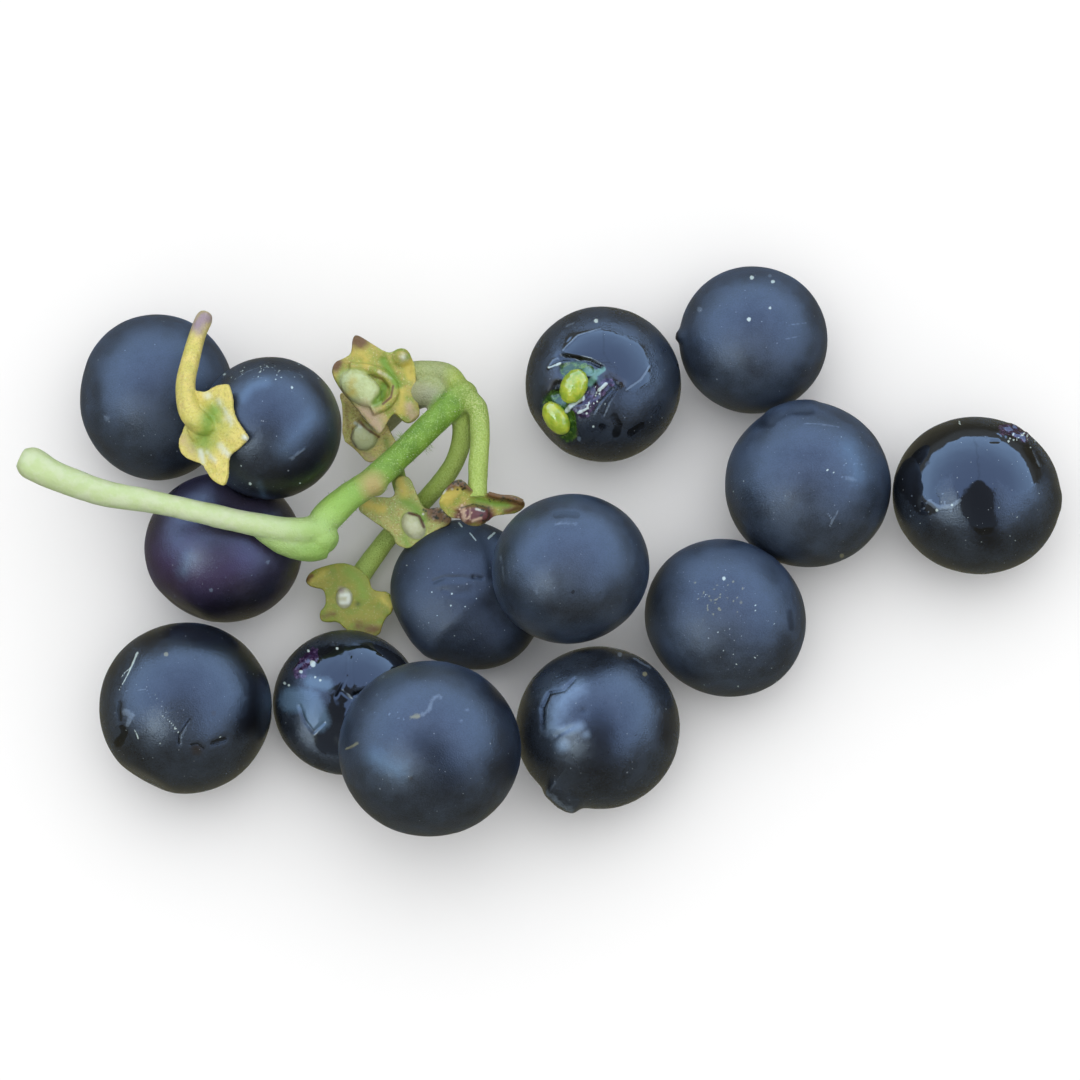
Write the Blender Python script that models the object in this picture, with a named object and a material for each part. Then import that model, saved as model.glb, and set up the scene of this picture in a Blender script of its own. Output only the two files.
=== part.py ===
"""A picked cluster of garden huckleberries lying on a flat surface.

Fourteen black berries lie loosely round their cut stalk. Three of them are heaped on the
shoulders of their neighbours, and one keeps its own calyx and a stub of stem. The green stalk
crosses the heap and splits into short stems that end in the star-shaped calyces of dropped
berries. The skin of one berry has split and shows two seeds.

Sizes and places are in millimetres. +X runs along the cluster, +Z is up, and the origin is on
the surface, below the middle of the cluster.
"""

import math
from dataclasses import dataclass

import bmesh
import bpy
from mathutils import Matrix, Vector

MM = 0.001

# Berries: one height for sound ones, and the space kept where two pieces press on each other.
SOUND_HEIGHT_RATIO = 0.95
PRESS_GAP = 0.25
BERRY_SEGMENTS = 20
BERRY_RINGS = 12
FOOT_SINK = 0.12
FOOT_HEIGHT = 0.3

# Stalk: tubes with this many smooth steps between two points of their route.
TUBE_BEVEL_RESOLUTION = 3
TUBE_STEPS = 3
APEX_PLACE = (-6.5, 11.9, 9.3)
APEX_RADIUS = 1.3
KNEE_PLACE = (-18.3, -0.3, 11.2)
KNEE_RADIUS = 1.35

# Calyces: a thin star, thicker round its middle, with five lobes.
BLADE_THICKNESS = 0.65
NOTCH_RADIUS = 1.9
MIDDLE_RADIUS = 1.15
RECEPTACLE_HEIGHT = 0.55
RECEPTACLE_DEPTH = 0.9
LOBE_SHAPE_POWER = 1.05
STEPS_PER_LOBE = 6

# Seeds: their half length, half width and half thickness, and how deep they sit.
SEED_HALF_SIZES = (1.5, 1.1, 0.85)
SEED_SINK = 0.15
SEED_PIT_GAP = 0.2
SEED_SEGMENTS = 12
SEED_RINGS = 8


@dataclass(frozen=True)
class Berry:
    """One berry: where its middle is, how wide and high it is, and what presses on it."""

    x: float
    y: float
    width: float
    height_ratio: float = SOUND_HEIGHT_RATIO
    lift: float = 0.0
    pressed_by: tuple = ()
    flat_side_angle: float = 0.0
    flat_side_depth: float = 0.0
    material: str = "berry_skin"

    @property
    def half_width(self):
        return self.width / 2

    @property
    def half_height(self):
        return self.width / 2 * self.height_ratio

    @property
    def centre(self):
        """The berry's middle, sunk a little where it stands on its own flattened foot."""
        sink = FOOT_SINK if self.lift == 0.0 else 0.0
        return Vector((self.x, self.y, self.half_height + self.lift - sink))


@dataclass(frozen=True)
class Calyx:
    """One calyx: its middle, the way it faces, and its lobes.

    A lobe is an angle in degrees from +X, a length, and how far its tip rises out of the
    calyx's own plane, towards the side that held the berry.
    """

    centre: tuple
    facing: tuple
    lobes: tuple
    receptacle_height: float = RECEPTACLE_HEIGHT
    receptacle_depth: float = RECEPTACLE_DEPTH


BERRIES = {
    "berry_01": Berry(-32.2, 12.6, 13.6, pressed_by=("berry_02",)),
    "berry_02": Berry(-22.3, 8.0, 11.9, lift=7.2),
    "berry_03": Berry(-26.4, -0.4, 13.0, pressed_by=("berry_02",), material="purple_berry_skin"),
    "berry_04": Berry(-29.3, -14.3, 14.3, flat_side_angle=242, flat_side_depth=0.35),
    "berry_05": Berry(-16.1, -13.1, 12.4, height_ratio=0.6, pressed_by=("berry_06",)),
    "berry_06": Berry(-9.0, -18.7, 14.7, lift=4.1),
    "berry_07": Berry(4.8, -15.9, 13.6, pressed_by=("berry_09",)),
    "berry_08": Berry(-6.1, -4.0, 12.9, height_ratio=0.64, pressed_by=("berry_09",),
                      flat_side_angle=206, flat_side_depth=0.3),
    "berry_09": Berry(2.5, -3.4, 12.8, lift=4.5),
    "berry_10": Berry(15.4, -6.5, 13.4, pressed_by=("berry_11",)),
    "berry_11": Berry(22.4, 4.9, 14.0),
    "berry_12": Berry(36.5, 4.0, 13.7),
    "berry_13": Berry(18.0, 17.8, 12.6),
    "berry_14": Berry(5.3, 13.8, 13.2, flat_side_angle=222, flat_side_depth=0.35),
}

# Each route is a list of points with the stalk's radius there: x, y, z, radius.
PEDUNCLE = [(-42.4, 4.2, 17.3, 0.8), (-41.6, 3.8, 17.2, 1.35), (-39.4, 2.7, 17.0, 1.2),
            (-35.7, 1.6, 16.0, 1.1), (-31.0, 1.0, 14.8, 0.95), (-25.4, 0.0, 13.6, 0.95),
            (-21.0, -0.6, 12.5, 1.05), (-18.3, -0.3, 11.3, 1.2)]
HEEL = [(-22.8, -1.3, 12.6, 0.4), (-21.0, -1.9, 11.6, 0.75), (-19.1, -2.0, 10.8, 0.85),
        (-17.3, -1.6, 10.4, 0.7)]
RACHIS = [(-18.6, -0.4, 11.3, 1.1), (-17.4, 1.1, 11.0, 1.3), (-15.8, 2.7, 10.7, 1.2),
          (-13.8, 4.3, 10.3, 1.12), (-11.4, 6.8, 9.8, 1.12), (-8.7, 9.6, 9.6, 1.15),
          (-6.8, 11.6, 9.4, 1.25)]
PEDICELS = [
    [(-6.6, 11.9, 9.3, 0.9), (-7.5, 13.6, 8.9, 0.88), (-9.0, 14.3, 8.1, 0.84),
     (-10.8, 14.5, 7.1, 0.8), (-13.0, 13.8, 6.5, 0.76), (-14.3, 13.3, 6.4, 0.74)],
    [(-7.7, 11.2, 9.0, 0.75), (-9.4, 12.2, 7.6, 0.75), (-11.4, 11.7, 5.4, 0.72),
     (-13.5, 10.5, 3.7, 0.72), (-14.6, 10.0, 3.4, 0.7)],
    [(-6.6, 11.8, 9.4, 0.9), (-5.3, 10.8, 9.6, 0.88), (-5.0, 8.6, 9.8, 0.83),
     (-5.1, 6.2, 9.8, 0.83), (-5.2, 4.0, 9.6, 0.78)],
    [(-6.8, 11.4, 9.0, 0.85), (-6.5, 9.4, 7.6, 0.84), (-6.9, 7.6, 6.3, 0.8),
     (-7.9, 6.1, 5.1, 0.8), (-9.7, 4.4, 3.6, 0.8), (-12.6, 1.7, 2.3, 0.8),
     (-14.8, -1.4, 1.9, 0.8), (-16.1, -3.3, 1.8, 0.75)],
    [(-12.2, 6.3, 9.2, 0.65), (-12.1, 6.5, 7.0, 0.62), (-11.8, 5.6, 4.9, 0.62),
     (-11.4, 3.8, 4.4, 0.62), (-11.0, 2.4, 4.3, 0.6)],
]
FRUIT_PEDICEL = [(-27.8, 7.3, 17.0, 0.75), (-28.6, 7.7, 17.5, 0.82), (-29.0, 8.9, 17.1, 0.85),
                 (-29.1, 10.7, 16.3, 0.82), (-28.8, 13.0, 15.5, 0.77),
                 (-28.3, 15.4, 14.9, 0.68), (-27.8, 16.9, 14.6, 0.68), (-27.6, 17.4, 14.5, 0.5)]

CALYCES = {
    "calyx_1": Calyx((-14.5, 12.7, 8.7), (0.1, -0.2, 1.0),
                     ((104, 4.6, 0.5), (50, 4.2, 0.9), (-37, 4.4, 0.1), (-125, 3.0, 0.0),
                      (163, 3.3, 0.6))),
    "calyx_2": Calyx((-15.0, 9.5, 5.3), (-0.3, -0.3, 1.0),
                     ((95, 2.6, 0.3), (20, 2.4, 0.2), (-60, 3.0, 0.2), (-130, 2.6, 0.5),
                      (165, 2.7, 0.5))),
    "calyx_3": Calyx((-10.8, 1.9, 6.3), (0.0, -0.2, 1.0),
                     ((104, 3.9, 0.5), (27, 3.2, 0.6), (-45, 1.9, 0.6), (-105, 2.6, 0.2),
                      (159, 4.6, 0.6))),
    "calyx_4": Calyx((-5.2, 2.2, 9.3), (0.1, -0.85, 0.5),
                     ((92, 2.2, 0.0), (5, 3.9, -0.2), (-50, 2.3, 0.3), (-120, 2.0, 0.3),
                      (172, 3.3, -0.2))),
    "calyx_5": Calyx((-16.3, -4.0, 3.8), (0.0, -0.15, 1.0),
                     ((75, 2.9, -0.4), (-5, 3.8, -0.3), (-62, 3.0, -0.2), (-136, 2.7, -0.2),
                      (153, 3.7, -0.3))),
}

# The sixth calyx still holds this berry. It lies on the skin, so its middle follows from there.
HELD_BERRY = "berry_02"
FRUIT_CALYX_FACING = (-0.8, -0.1, 0.59)
FRUIT_CALYX_LOBES = ((78, 3.8, -1.0), (10, 4.2, -1.3), (-72, 5.0, -1.5), (-140, 3.4, -0.5),
                     (140, 3.0, -0.7))
FRUIT_CALYX_MIDDLE_HEIGHT = 0.2

# The two seeds stand in the split of this berry, where these directions leave its middle.
SPLIT_BERRY = "berry_14"
SEEDS = {
    "seed_1": (Vector((-2.5, -1.8, 5.4)), 20),
    "seed_2": (Vector((-4.15, -4.1, 3.3)), 70),
}

# Surface colour, roughness: each name is also the slot of the nodes that use it.
FINISHES = {
    "berry_skin": ((0.018, 0.024, 0.042, 1.0), 0.42),
    "purple_berry_skin": ((0.030, 0.020, 0.052, 1.0), 0.42),
    "stalk_green": ((0.30, 0.46, 0.10, 1.0), 0.55),
    "calyx_green": ((0.42, 0.40, 0.08, 1.0), 0.7),
    "seed_green": ((0.42, 0.52, 0.06, 1.0), 0.35),
}


def clear_scene():
    """Remove every object that the scene starts with."""
    for thing in list(bpy.data.objects):
        bpy.data.objects.remove(thing, do_unlink=True)


def make_material(name):
    """Return the plain material of one surface."""
    colour, roughness = FINISHES[name]
    material = bpy.data.materials.get(name) or bpy.data.materials.new(name)
    material.use_nodes = True
    shader = material.node_tree.nodes["Principled BSDF"]
    shader.inputs["Base Color"].default_value = colour
    shader.inputs["Roughness"].default_value = roughness
    shader.inputs["Metallic"].default_value = 0.0
    return material


def add_mesh_object(name, mesh, material_name=None):
    """Link a mesh to the scene as a named object, shaded smooth."""
    thing = bpy.data.objects.new(name, mesh)
    bpy.context.collection.objects.link(thing)
    mesh.shade_smooth()
    if material_name is not None:
        mesh.materials.clear()
        mesh.materials.append(make_material(material_name))
    return thing


def mesh_from_bmesh(name, shape):
    """Turn a bmesh in millimetres into a mesh in metres."""
    bmesh.ops.scale(shape, vec=(MM, MM, MM), verts=shape.verts)
    bmesh.ops.recalc_face_normals(shape, faces=shape.faces)
    mesh = bpy.data.meshes.new(name)
    shape.to_mesh(mesh)
    shape.free()
    return mesh


def apply_modifiers(thing):
    """Replace an object's mesh by the shape that its modifiers give."""
    evaluated = thing.evaluated_get(bpy.context.evaluated_depsgraph_get())
    mesh = bpy.data.meshes.new_from_object(evaluated)
    thing.modifiers.clear()
    thing.data = mesh


def combine(base, others, operation):
    """Join the other objects to the base, or cut them from it, and remove them."""
    group = bpy.data.collections.new("shapes to combine")
    bpy.context.scene.collection.children.link(group)
    for other in others:
        group.objects.link(other)
        other.display_type = "WIRE"
        other.hide_render = True
    boolean = base.modifiers.new("combine", "BOOLEAN")
    boolean.operation = operation
    boolean.operand_type = "COLLECTION"
    boolean.collection = group
    boolean.solver = "EXACT"
    bpy.context.view_layer.update()
    apply_modifiers(base)
    for other in others:
        bpy.data.objects.remove(other, do_unlink=True)
    bpy.data.collections.remove(group)


def entry_distance(start, direction, centre, half_sizes):
    """Distance from start, along direction, to an upright ellipsoid, or infinity."""
    offset = Vector([(start[i] - centre[i]) / half_sizes[i] for i in range(3)])
    slope = Vector([direction[i] / half_sizes[i] for i in range(3)])
    a = slope.dot(slope)
    b = 2 * slope.dot(offset)
    c = offset.dot(offset) - 1
    root = b * b - 4 * a * c
    if root <= 0:
        return math.inf
    return (-b - math.sqrt(root)) / (2 * a)


def berry_reach(berry, direction):
    """How far the berry's skin is from its middle, along one direction."""
    flat = Vector((direction.x / berry.half_width, direction.y / berry.half_width,
                   direction.z / berry.half_height))
    reach = 1 / flat.length
    for name in berry.pressed_by:
        presser = BERRIES[name]
        grown = (presser.half_width + PRESS_GAP, presser.half_width + PRESS_GAP,
                 presser.half_height + PRESS_GAP)
        distance = entry_distance(berry.centre, direction, presser.centre, grown)
        if distance > 0:
            reach = min(reach, distance)
    if berry.flat_side_depth > 0:
        angle = math.radians(berry.flat_side_angle)
        across = direction.dot(Vector((math.cos(angle), math.sin(angle), 0)))
        if across > 0:
            reach = min(reach, (berry.half_width - berry.flat_side_depth) / across)
    return reach


def make_berry(name, berry):
    """A round berry, dented where others press on it, with a flat foot where it stands."""
    shape = bmesh.new()
    bmesh.ops.create_uvsphere(shape, u_segments=BERRY_SEGMENTS, v_segments=BERRY_RINGS, radius=1)
    for vertex in shape.verts:
        direction = vertex.co.normalized()
        point = berry.centre + direction * berry_reach(berry, direction)
        if berry.lift == 0.0 and point.z < FOOT_HEIGHT:
            point.z = 0.0
        vertex.co = point
    bmesh.ops.triangulate(shape, faces=shape.faces)
    return add_mesh_object(name, mesh_from_bmesh(name, shape), berry.material)


def make_tube(name, route):
    """A round tube of changing radius that runs smoothly through the points of its route."""
    curve = bpy.data.curves.new(name, "CURVE")
    curve.dimensions = "3D"
    curve.resolution_u = TUBE_STEPS
    curve.bevel_depth = MM
    curve.bevel_resolution = TUBE_BEVEL_RESOLUTION
    curve.use_fill_caps = True
    spline = curve.splines.new("BEZIER")
    spline.bezier_points.add(len(route) - 1)
    for knot, (x, y, z, radius) in zip(spline.bezier_points, route):
        knot.co = Vector((x, y, z)) * MM
        knot.radius = radius
        knot.handle_left_type = "AUTO"
        knot.handle_right_type = "AUTO"
    guide = bpy.data.objects.new(name, curve)
    bpy.context.collection.objects.link(guide)
    bpy.context.view_layer.update()
    evaluated = guide.evaluated_get(bpy.context.evaluated_depsgraph_get())
    mesh = bpy.data.meshes.new_from_object(evaluated)
    bpy.data.objects.remove(guide, do_unlink=True)
    shape = bmesh.new()
    shape.from_mesh(mesh)
    bmesh.ops.remove_doubles(shape, verts=shape.verts, dist=0.001 * MM)
    bmesh.ops.triangulate(shape, faces=shape.faces)
    bmesh.ops.recalc_face_normals(shape, faces=shape.faces)
    shape.to_mesh(mesh)
    shape.free()
    return add_mesh_object(name, mesh)


def make_ball(name, centre, half_sizes, segments, rings, turn=None):
    """An ellipsoid, turned as a rotation matrix says."""
    shape = bmesh.new()
    bmesh.ops.create_uvsphere(shape, u_segments=segments, v_segments=rings, radius=1)
    bmesh.ops.triangulate(shape, faces=shape.faces)
    bmesh.ops.scale(shape, vec=half_sizes, verts=shape.verts)
    if turn is not None:
        bmesh.ops.rotate(shape, cent=(0, 0, 0), matrix=turn, verts=shape.verts)
    bmesh.ops.translate(shape, vec=centre, verts=shape.verts)
    return add_mesh_object(name, mesh_from_bmesh(name, shape))


def make_stalk():
    """The green stalk: peduncle, heel, main stem and the short stems of dropped berries."""
    stalk = make_tube("stalk", PEDUNCLE)
    limbs = [make_tube("heel", HEEL), make_tube("rachis", RACHIS)]
    limbs += [make_tube(f"pedicel {number}", route) for number, route in enumerate(PEDICELS)]
    limbs.append(make_ball("apex", APEX_PLACE, [APEX_RADIUS] * 3, 12, 8))
    limbs.append(make_ball("knee", KNEE_PLACE, [KNEE_RADIUS] * 3, 12, 8))
    combine(stalk, limbs, "UNION")
    stalk.data.materials.clear()
    stalk.data.materials.append(make_material("stalk_green"))
    return stalk


def lobe_edge(calyx, index, across):
    """Outline radius and rise of a calyx beside one lobe.

    across runs from -1 at the notch before the lobe, over 0 at its tip, to 1 at the next.
    """
    ordered = sorted(calyx.lobes, key=lambda lobe: lobe[0] % 360)
    angle, length, rise = ordered[index]
    side = 1 if across > 0 else -1
    other_angle, _, other_rise = ordered[(index + side) % len(ordered)]
    half_gap = ((other_angle - angle) * side % 360) / 2
    share = abs(across)
    radius = NOTCH_RADIUS + (length - NOTCH_RADIUS) * (1 - share) ** LOBE_SHAPE_POWER
    notch_rise = (rise + other_rise) / 2 * (NOTCH_RADIUS / length) ** 2
    height = notch_rise + (rise - notch_rise) * (1 - share)
    return math.radians(angle + across * half_gap), radius, height


def make_calyx(name, calyx):
    """A thin five-lobed star with a small raised receptacle in its middle."""
    outline = []
    for index in range(len(calyx.lobes)):
        for step in range(STEPS_PER_LOBE):
            outline.append(lobe_edge(calyx, index, -1 + 2 * step / STEPS_PER_LOBE))
    shape = bmesh.new()
    rings = {1: [], -1: []}
    poles = {}
    for side in rings:
        top = side == 1
        pole_height = calyx.receptacle_height if top else -calyx.receptacle_depth
        poles[side] = shape.verts.new((0, 0, pole_height))
        middle, halfway, rim = [], [], []
        for angle, radius, rise in outline:
            across = Vector((math.cos(angle), math.sin(angle), 0))
            drop = 0.0 if top else -BLADE_THICKNESS
            half_radius = (MIDDLE_RADIUS + radius) / 2
            half_rise = rise * (half_radius / radius) ** 2
            middle_height = pole_height * 0.55 if top else (pole_height + drop) / 2
            middle.append(shape.verts.new(across * MIDDLE_RADIUS + Vector((0, 0, middle_height))))
            halfway.append(shape.verts.new(across * half_radius + Vector((0, 0, half_rise + drop))))
            rim.append(shape.verts.new(across * radius + Vector((0, 0, rise + drop))))
        rings[side] = [middle, halfway, rim]
    count = len(outline)
    for here in range(count):
        after = (here + 1) % count
        for side, (middle, halfway, rim) in rings.items():
            shape.faces.new((poles[side], middle[here], middle[after]))
            for inner, outer in ((middle, halfway), (halfway, rim)):
                shape.faces.new((inner[here], outer[here], outer[after]))
                shape.faces.new((inner[here], outer[after], inner[after]))
        upper, lower = rings[1][-1], rings[-1][-1]
        shape.faces.new((upper[here], upper[after], lower[after]))
        shape.faces.new((upper[here], lower[after], lower[here]))
    facing = Vector(calyx.facing).normalized()
    along = (Vector((1, 0, 0)) - facing * facing.x).normalized()
    turn = Matrix((along, facing.cross(along), facing)).transposed()
    bmesh.ops.rotate(shape, cent=(0, 0, 0), matrix=turn, verts=shape.verts)
    bmesh.ops.translate(shape, vec=calyx.centre, verts=shape.verts)
    return add_mesh_object(name, mesh_from_bmesh(name, shape), "calyx_green")


def make_fruit_calyx():
    """The calyx that still holds its berry, with the stub of its stem grown on."""
    berry = BERRIES[HELD_BERRY]
    facing = Vector(FRUIT_CALYX_FACING).normalized()
    height = berry_reach(berry, facing) + BLADE_THICKNESS + PRESS_GAP
    calyx = Calyx(berry.centre + facing * height, facing, FRUIT_CALYX_LOBES,
                  receptacle_height=FRUIT_CALYX_MIDDLE_HEIGHT, receptacle_depth=BLADE_THICKNESS)
    star = make_calyx("calyx_6", calyx)
    combine(star, [make_tube("fruit pedicel", FRUIT_PEDICEL)], "UNION")
    star.data.materials.clear()
    star.data.materials.append(make_material("calyx_green"))
    return star


def make_seeds(berry_object):
    """Two seeds, each half sunk in a pit of its own in the split berry."""
    berry = BERRIES[SPLIT_BERRY]
    seeds = []
    pits = []
    for name, (direction, spin) in SEEDS.items():
        outward = direction.normalized()
        centre = berry.centre + outward * (berry_reach(berry, outward) - SEED_SINK)
        turn = outward.to_track_quat("Z", "X").to_matrix() @ Matrix.Rotation(math.radians(spin), 3, "Z")
        seed = make_ball(name, centre, SEED_HALF_SIZES, SEED_SEGMENTS, SEED_RINGS, turn)
        seed.data.materials.append(make_material("seed_green"))
        seeds.append(seed)
        pit_sizes = [size + SEED_PIT_GAP for size in SEED_HALF_SIZES]
        pits.append(make_ball(f"{name} pit", centre, pit_sizes, SEED_SEGMENTS, SEED_RINGS, turn))
    combine(berry_object, pits, "DIFFERENCE")
    return seeds


def centre_on_origin(pieces):
    """Hang every piece on one empty, and bring the middle of the cluster over the origin."""
    bpy.context.view_layer.update()
    corners = [piece.matrix_world @ Vector(corner) for piece in pieces for corner in piece.bound_box]
    cluster = bpy.data.objects.new("cluster", None)
    bpy.context.collection.objects.link(cluster)
    for piece in pieces:
        piece.parent = cluster
    for axis in range(2):
        low = min(corner[axis] for corner in corners)
        high = max(corner[axis] for corner in corners)
        cluster.location[axis] = -(low + high) / 2
    cluster.location.z = -min(corner.z for corner in corners)


def main():
    """Build the cluster."""
    clear_scene()
    berries = {name: make_berry(name, berry) for name, berry in BERRIES.items()}
    pieces = list(berries.values())
    pieces += make_seeds(berries[SPLIT_BERRY])
    pieces.append(make_stalk())
    pieces += [make_calyx(name, calyx) for name, calyx in CALYCES.items()]
    pieces.append(make_fruit_calyx())
    centre_on_origin(pieces)


main()
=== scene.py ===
"""The looks of a picked garden huckleberry cluster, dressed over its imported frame.

Every berry, the stalk, the calyces and the two seeds get a finer skin that keeps the place and
form of its solid. Lengths in this file are millimetres unless a name says otherwise, and places
on the picture are pixels of its 1080 by 1080 frame, counted from the upper left corner.
"""

import logging
import math
from dataclasses import dataclass, field
from enum import Enum
from typing import Iterable, Sequence

import bmesh
import bpy
import numpy as np
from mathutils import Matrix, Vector


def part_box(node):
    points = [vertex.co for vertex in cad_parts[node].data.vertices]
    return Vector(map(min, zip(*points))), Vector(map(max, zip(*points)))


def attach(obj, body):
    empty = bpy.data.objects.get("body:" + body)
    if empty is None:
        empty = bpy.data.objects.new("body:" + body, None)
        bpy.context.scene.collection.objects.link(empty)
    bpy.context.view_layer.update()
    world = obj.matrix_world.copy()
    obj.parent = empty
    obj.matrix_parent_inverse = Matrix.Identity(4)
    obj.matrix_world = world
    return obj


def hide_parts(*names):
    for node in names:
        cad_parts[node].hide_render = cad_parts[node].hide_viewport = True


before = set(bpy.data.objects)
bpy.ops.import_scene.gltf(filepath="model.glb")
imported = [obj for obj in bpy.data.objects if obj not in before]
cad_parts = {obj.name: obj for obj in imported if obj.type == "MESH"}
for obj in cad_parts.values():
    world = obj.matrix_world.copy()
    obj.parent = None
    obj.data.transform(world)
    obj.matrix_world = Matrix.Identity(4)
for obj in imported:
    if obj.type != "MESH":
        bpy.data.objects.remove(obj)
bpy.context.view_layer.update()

LOG = logging.getLogger("huckleberry")
MM = 0.001
BODY = "root"
Pixel = tuple[float, float]
Point3 = tuple[float, float, float]
Colour = tuple[float, float, float, float]


class Tone(Enum):
    """What a mark does to a surface; the value names the mesh attribute that holds it."""

    WET = "wet"
    PALE = "pale"
    DARK = "dark"
    TISSUE = "tissue"
    FLESH = "flesh"
    TAN = "tan"
    VIOLET = "violet"
    WHITE = "white"
    BROWN = "brown"
    PINK = "pink"
    GREEN = "green"
    PURPLE = "purple"
    OLD = "old"
    YELLOW = "yellow"
    # painted reflection and painted highlight: a pale patch that stands for light mirrored in a berry's skin
    PAINTED_SHEEN = "painted_sheen"
    SHADE = "shade"


class Slot(Enum):
    """The record's material slots."""

    BERRY = "berry_skin"
    PURPLE_BERRY = "purple_berry_skin"
    STALK = "stalk_green"
    CALYX = "calyx_green"
    SEED = "seed_green"


@dataclass(frozen=True)
class PictureCamera:
    """The camera that saw the cluster, and the way between its pixels and real places.

    Attributes:
        elevation: Angle in degrees above the surface.
        distance: From the camera to the point it looks at.
        target_height: Height of the point it looks at.
        frame_width: Real width of the square frame at that point.
        frame_pixels: Pixels across the frame.
        sensor_width: Width of the camera's sensor.
    """

    elevation: float = 75.0
    distance: float = 420.0
    target_height: float = 7.0
    frame_width: float = 90.0
    frame_pixels: float = 1080.0
    sensor_width: float = 36.0

    @property
    def back(self) -> np.ndarray:
        """Direction from the target to the camera."""
        angle = math.radians(self.elevation)
        return np.array([0.0, -math.cos(angle), math.sin(angle)])

    @property
    def up(self) -> np.ndarray:
        """The picture's upward direction."""
        angle = math.radians(self.elevation)
        return np.array([0.0, math.sin(angle), math.cos(angle)])

    @property
    def target(self) -> np.ndarray:
        """The point in the middle of the picture."""
        return np.array([*cluster_offset(), self.target_height])

    @property
    def place(self) -> np.ndarray:
        """Where the camera stands."""
        return self.target + self.back * self.distance

    @property
    def focal_pixels(self) -> float:
        """Pixels that one unit of slope covers."""
        return self.distance * self.frame_pixels / self.frame_width

    def project(self, points: np.ndarray) -> np.ndarray:
        """Find the pixels of real points.

        Args:
            points: Places, one row each.

        Returns:
            Pixels across and down, one row each.
        """
        offset = points - self.place
        depth = -(offset @ self.back)
        across = self.frame_pixels / 2 + self.focal_pixels * offset[:, 0] / depth
        down = self.frame_pixels / 2 - self.focal_pixels * (offset @ self.up) / depth
        return np.stack([across, down], axis=1)

    def meet(self, pixels: np.ndarray, point: Sequence[float], normal: Sequence[float]) -> np.ndarray:
        """Find where the lines of sight through pixels meet a plane.

        Args:
            pixels: Pixels across and down, one row each.
            point: Any place on the plane.
            normal: The plane's normal.

        Returns:
            Places, one row each.
        """
        pixels = np.atleast_2d(np.asarray(pixels, float))
        across = (pixels[:, 0] - self.frame_pixels / 2) / self.focal_pixels
        above = (self.frame_pixels / 2 - pixels[:, 1]) / self.focal_pixels
        rays = np.outer(across, [1.0, 0.0, 0.0]) + np.outer(above, self.up) - self.back
        normal = np.asarray(normal, float)
        reach = ((np.asarray(point, float) - self.place) @ normal) / (rays @ normal)
        return self.place + rays * reach[:, None]

    def lift(self, pixel: Pixel, height: float) -> np.ndarray:
        """Find the real point at a height that one pixel shows.

        Args:
            pixel: Pixels across and down.
            height: Height above the surface.

        Returns:
            The place.
        """
        return self.meet([pixel], (0.0, 0.0, height), (0.0, 0.0, 1.0))[0]

    def build(self) -> None:
        """Make the camera and let the scene look through it."""
        data = bpy.data.cameras.new("picture_camera")
        data.sensor_width = self.sensor_width
        data.lens = self.sensor_width * self.distance / self.frame_width
        data.clip_start = 0.01
        camera = bpy.data.objects.new("picture_camera", data)
        camera.location = Vector(self.place) * MM
        camera.rotation_euler = (math.radians(90 - self.elevation), 0.0, 0.0)
        bpy.context.scene.collection.objects.link(camera)
        bpy.context.scene.camera = camera


def box_of(node: str) -> tuple[np.ndarray, np.ndarray]:
    """Middle and half sizes of a solid's box, in millimetres."""
    low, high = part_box(node)
    return np.array((low + high) / 2) / MM, np.array((high - low) / 2) / MM


def cluster_offset() -> tuple[float, float]:
    """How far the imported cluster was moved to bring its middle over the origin."""
    middle, _ = box_of("berry_01")
    return middle[0] + 32.2, middle[1] - 12.6


def value_noise(points: np.ndarray, size: float, seed: float = 0.0) -> np.ndarray:
    """Smooth random bumps between -1 and 1.

    Args:
        points: Places, one row each.
        size: Width of one bump.
        seed: Any number; another one gives another pattern.

    Returns:
        One value a point.
    """
    scaled = points / size + seed * 17.31
    cell = np.floor(scaled)
    share = scaled - cell
    share = share * share * (3 - 2 * share)
    total = np.zeros(len(points))
    for corner in range(8):
        step = np.array([corner & 1, corner >> 1 & 1, corner >> 2 & 1])
        key = (cell + step) @ np.array([127.1, 311.7, 74.7])
        random = np.modf(np.abs(np.sin(key) * 43758.5453))[0]
        weight = np.prod(np.where(step == 1, share, 1 - share), axis=1)
        total += random * weight
    return total * 2 - 1


def layered_noise(points: np.ndarray, size: float, seed: float = 0.0, layers: int = 3) -> np.ndarray:
    """Add up bumps of ever smaller width.

    Args:
        points: Places, one row each.
        size: Width of the largest bumps.
        seed: Any number; another one gives another pattern.
        layers: How many widths are added, each half the one before.

    Returns:
        One value a point, mostly between -1 and 1.
    """
    total = np.zeros(len(points))
    for layer in range(layers):
        total += value_noise(points, size / 2**layer, seed + layer) / 2**layer
    return total / (2 - 0.5 ** (layers - 1))


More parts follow.
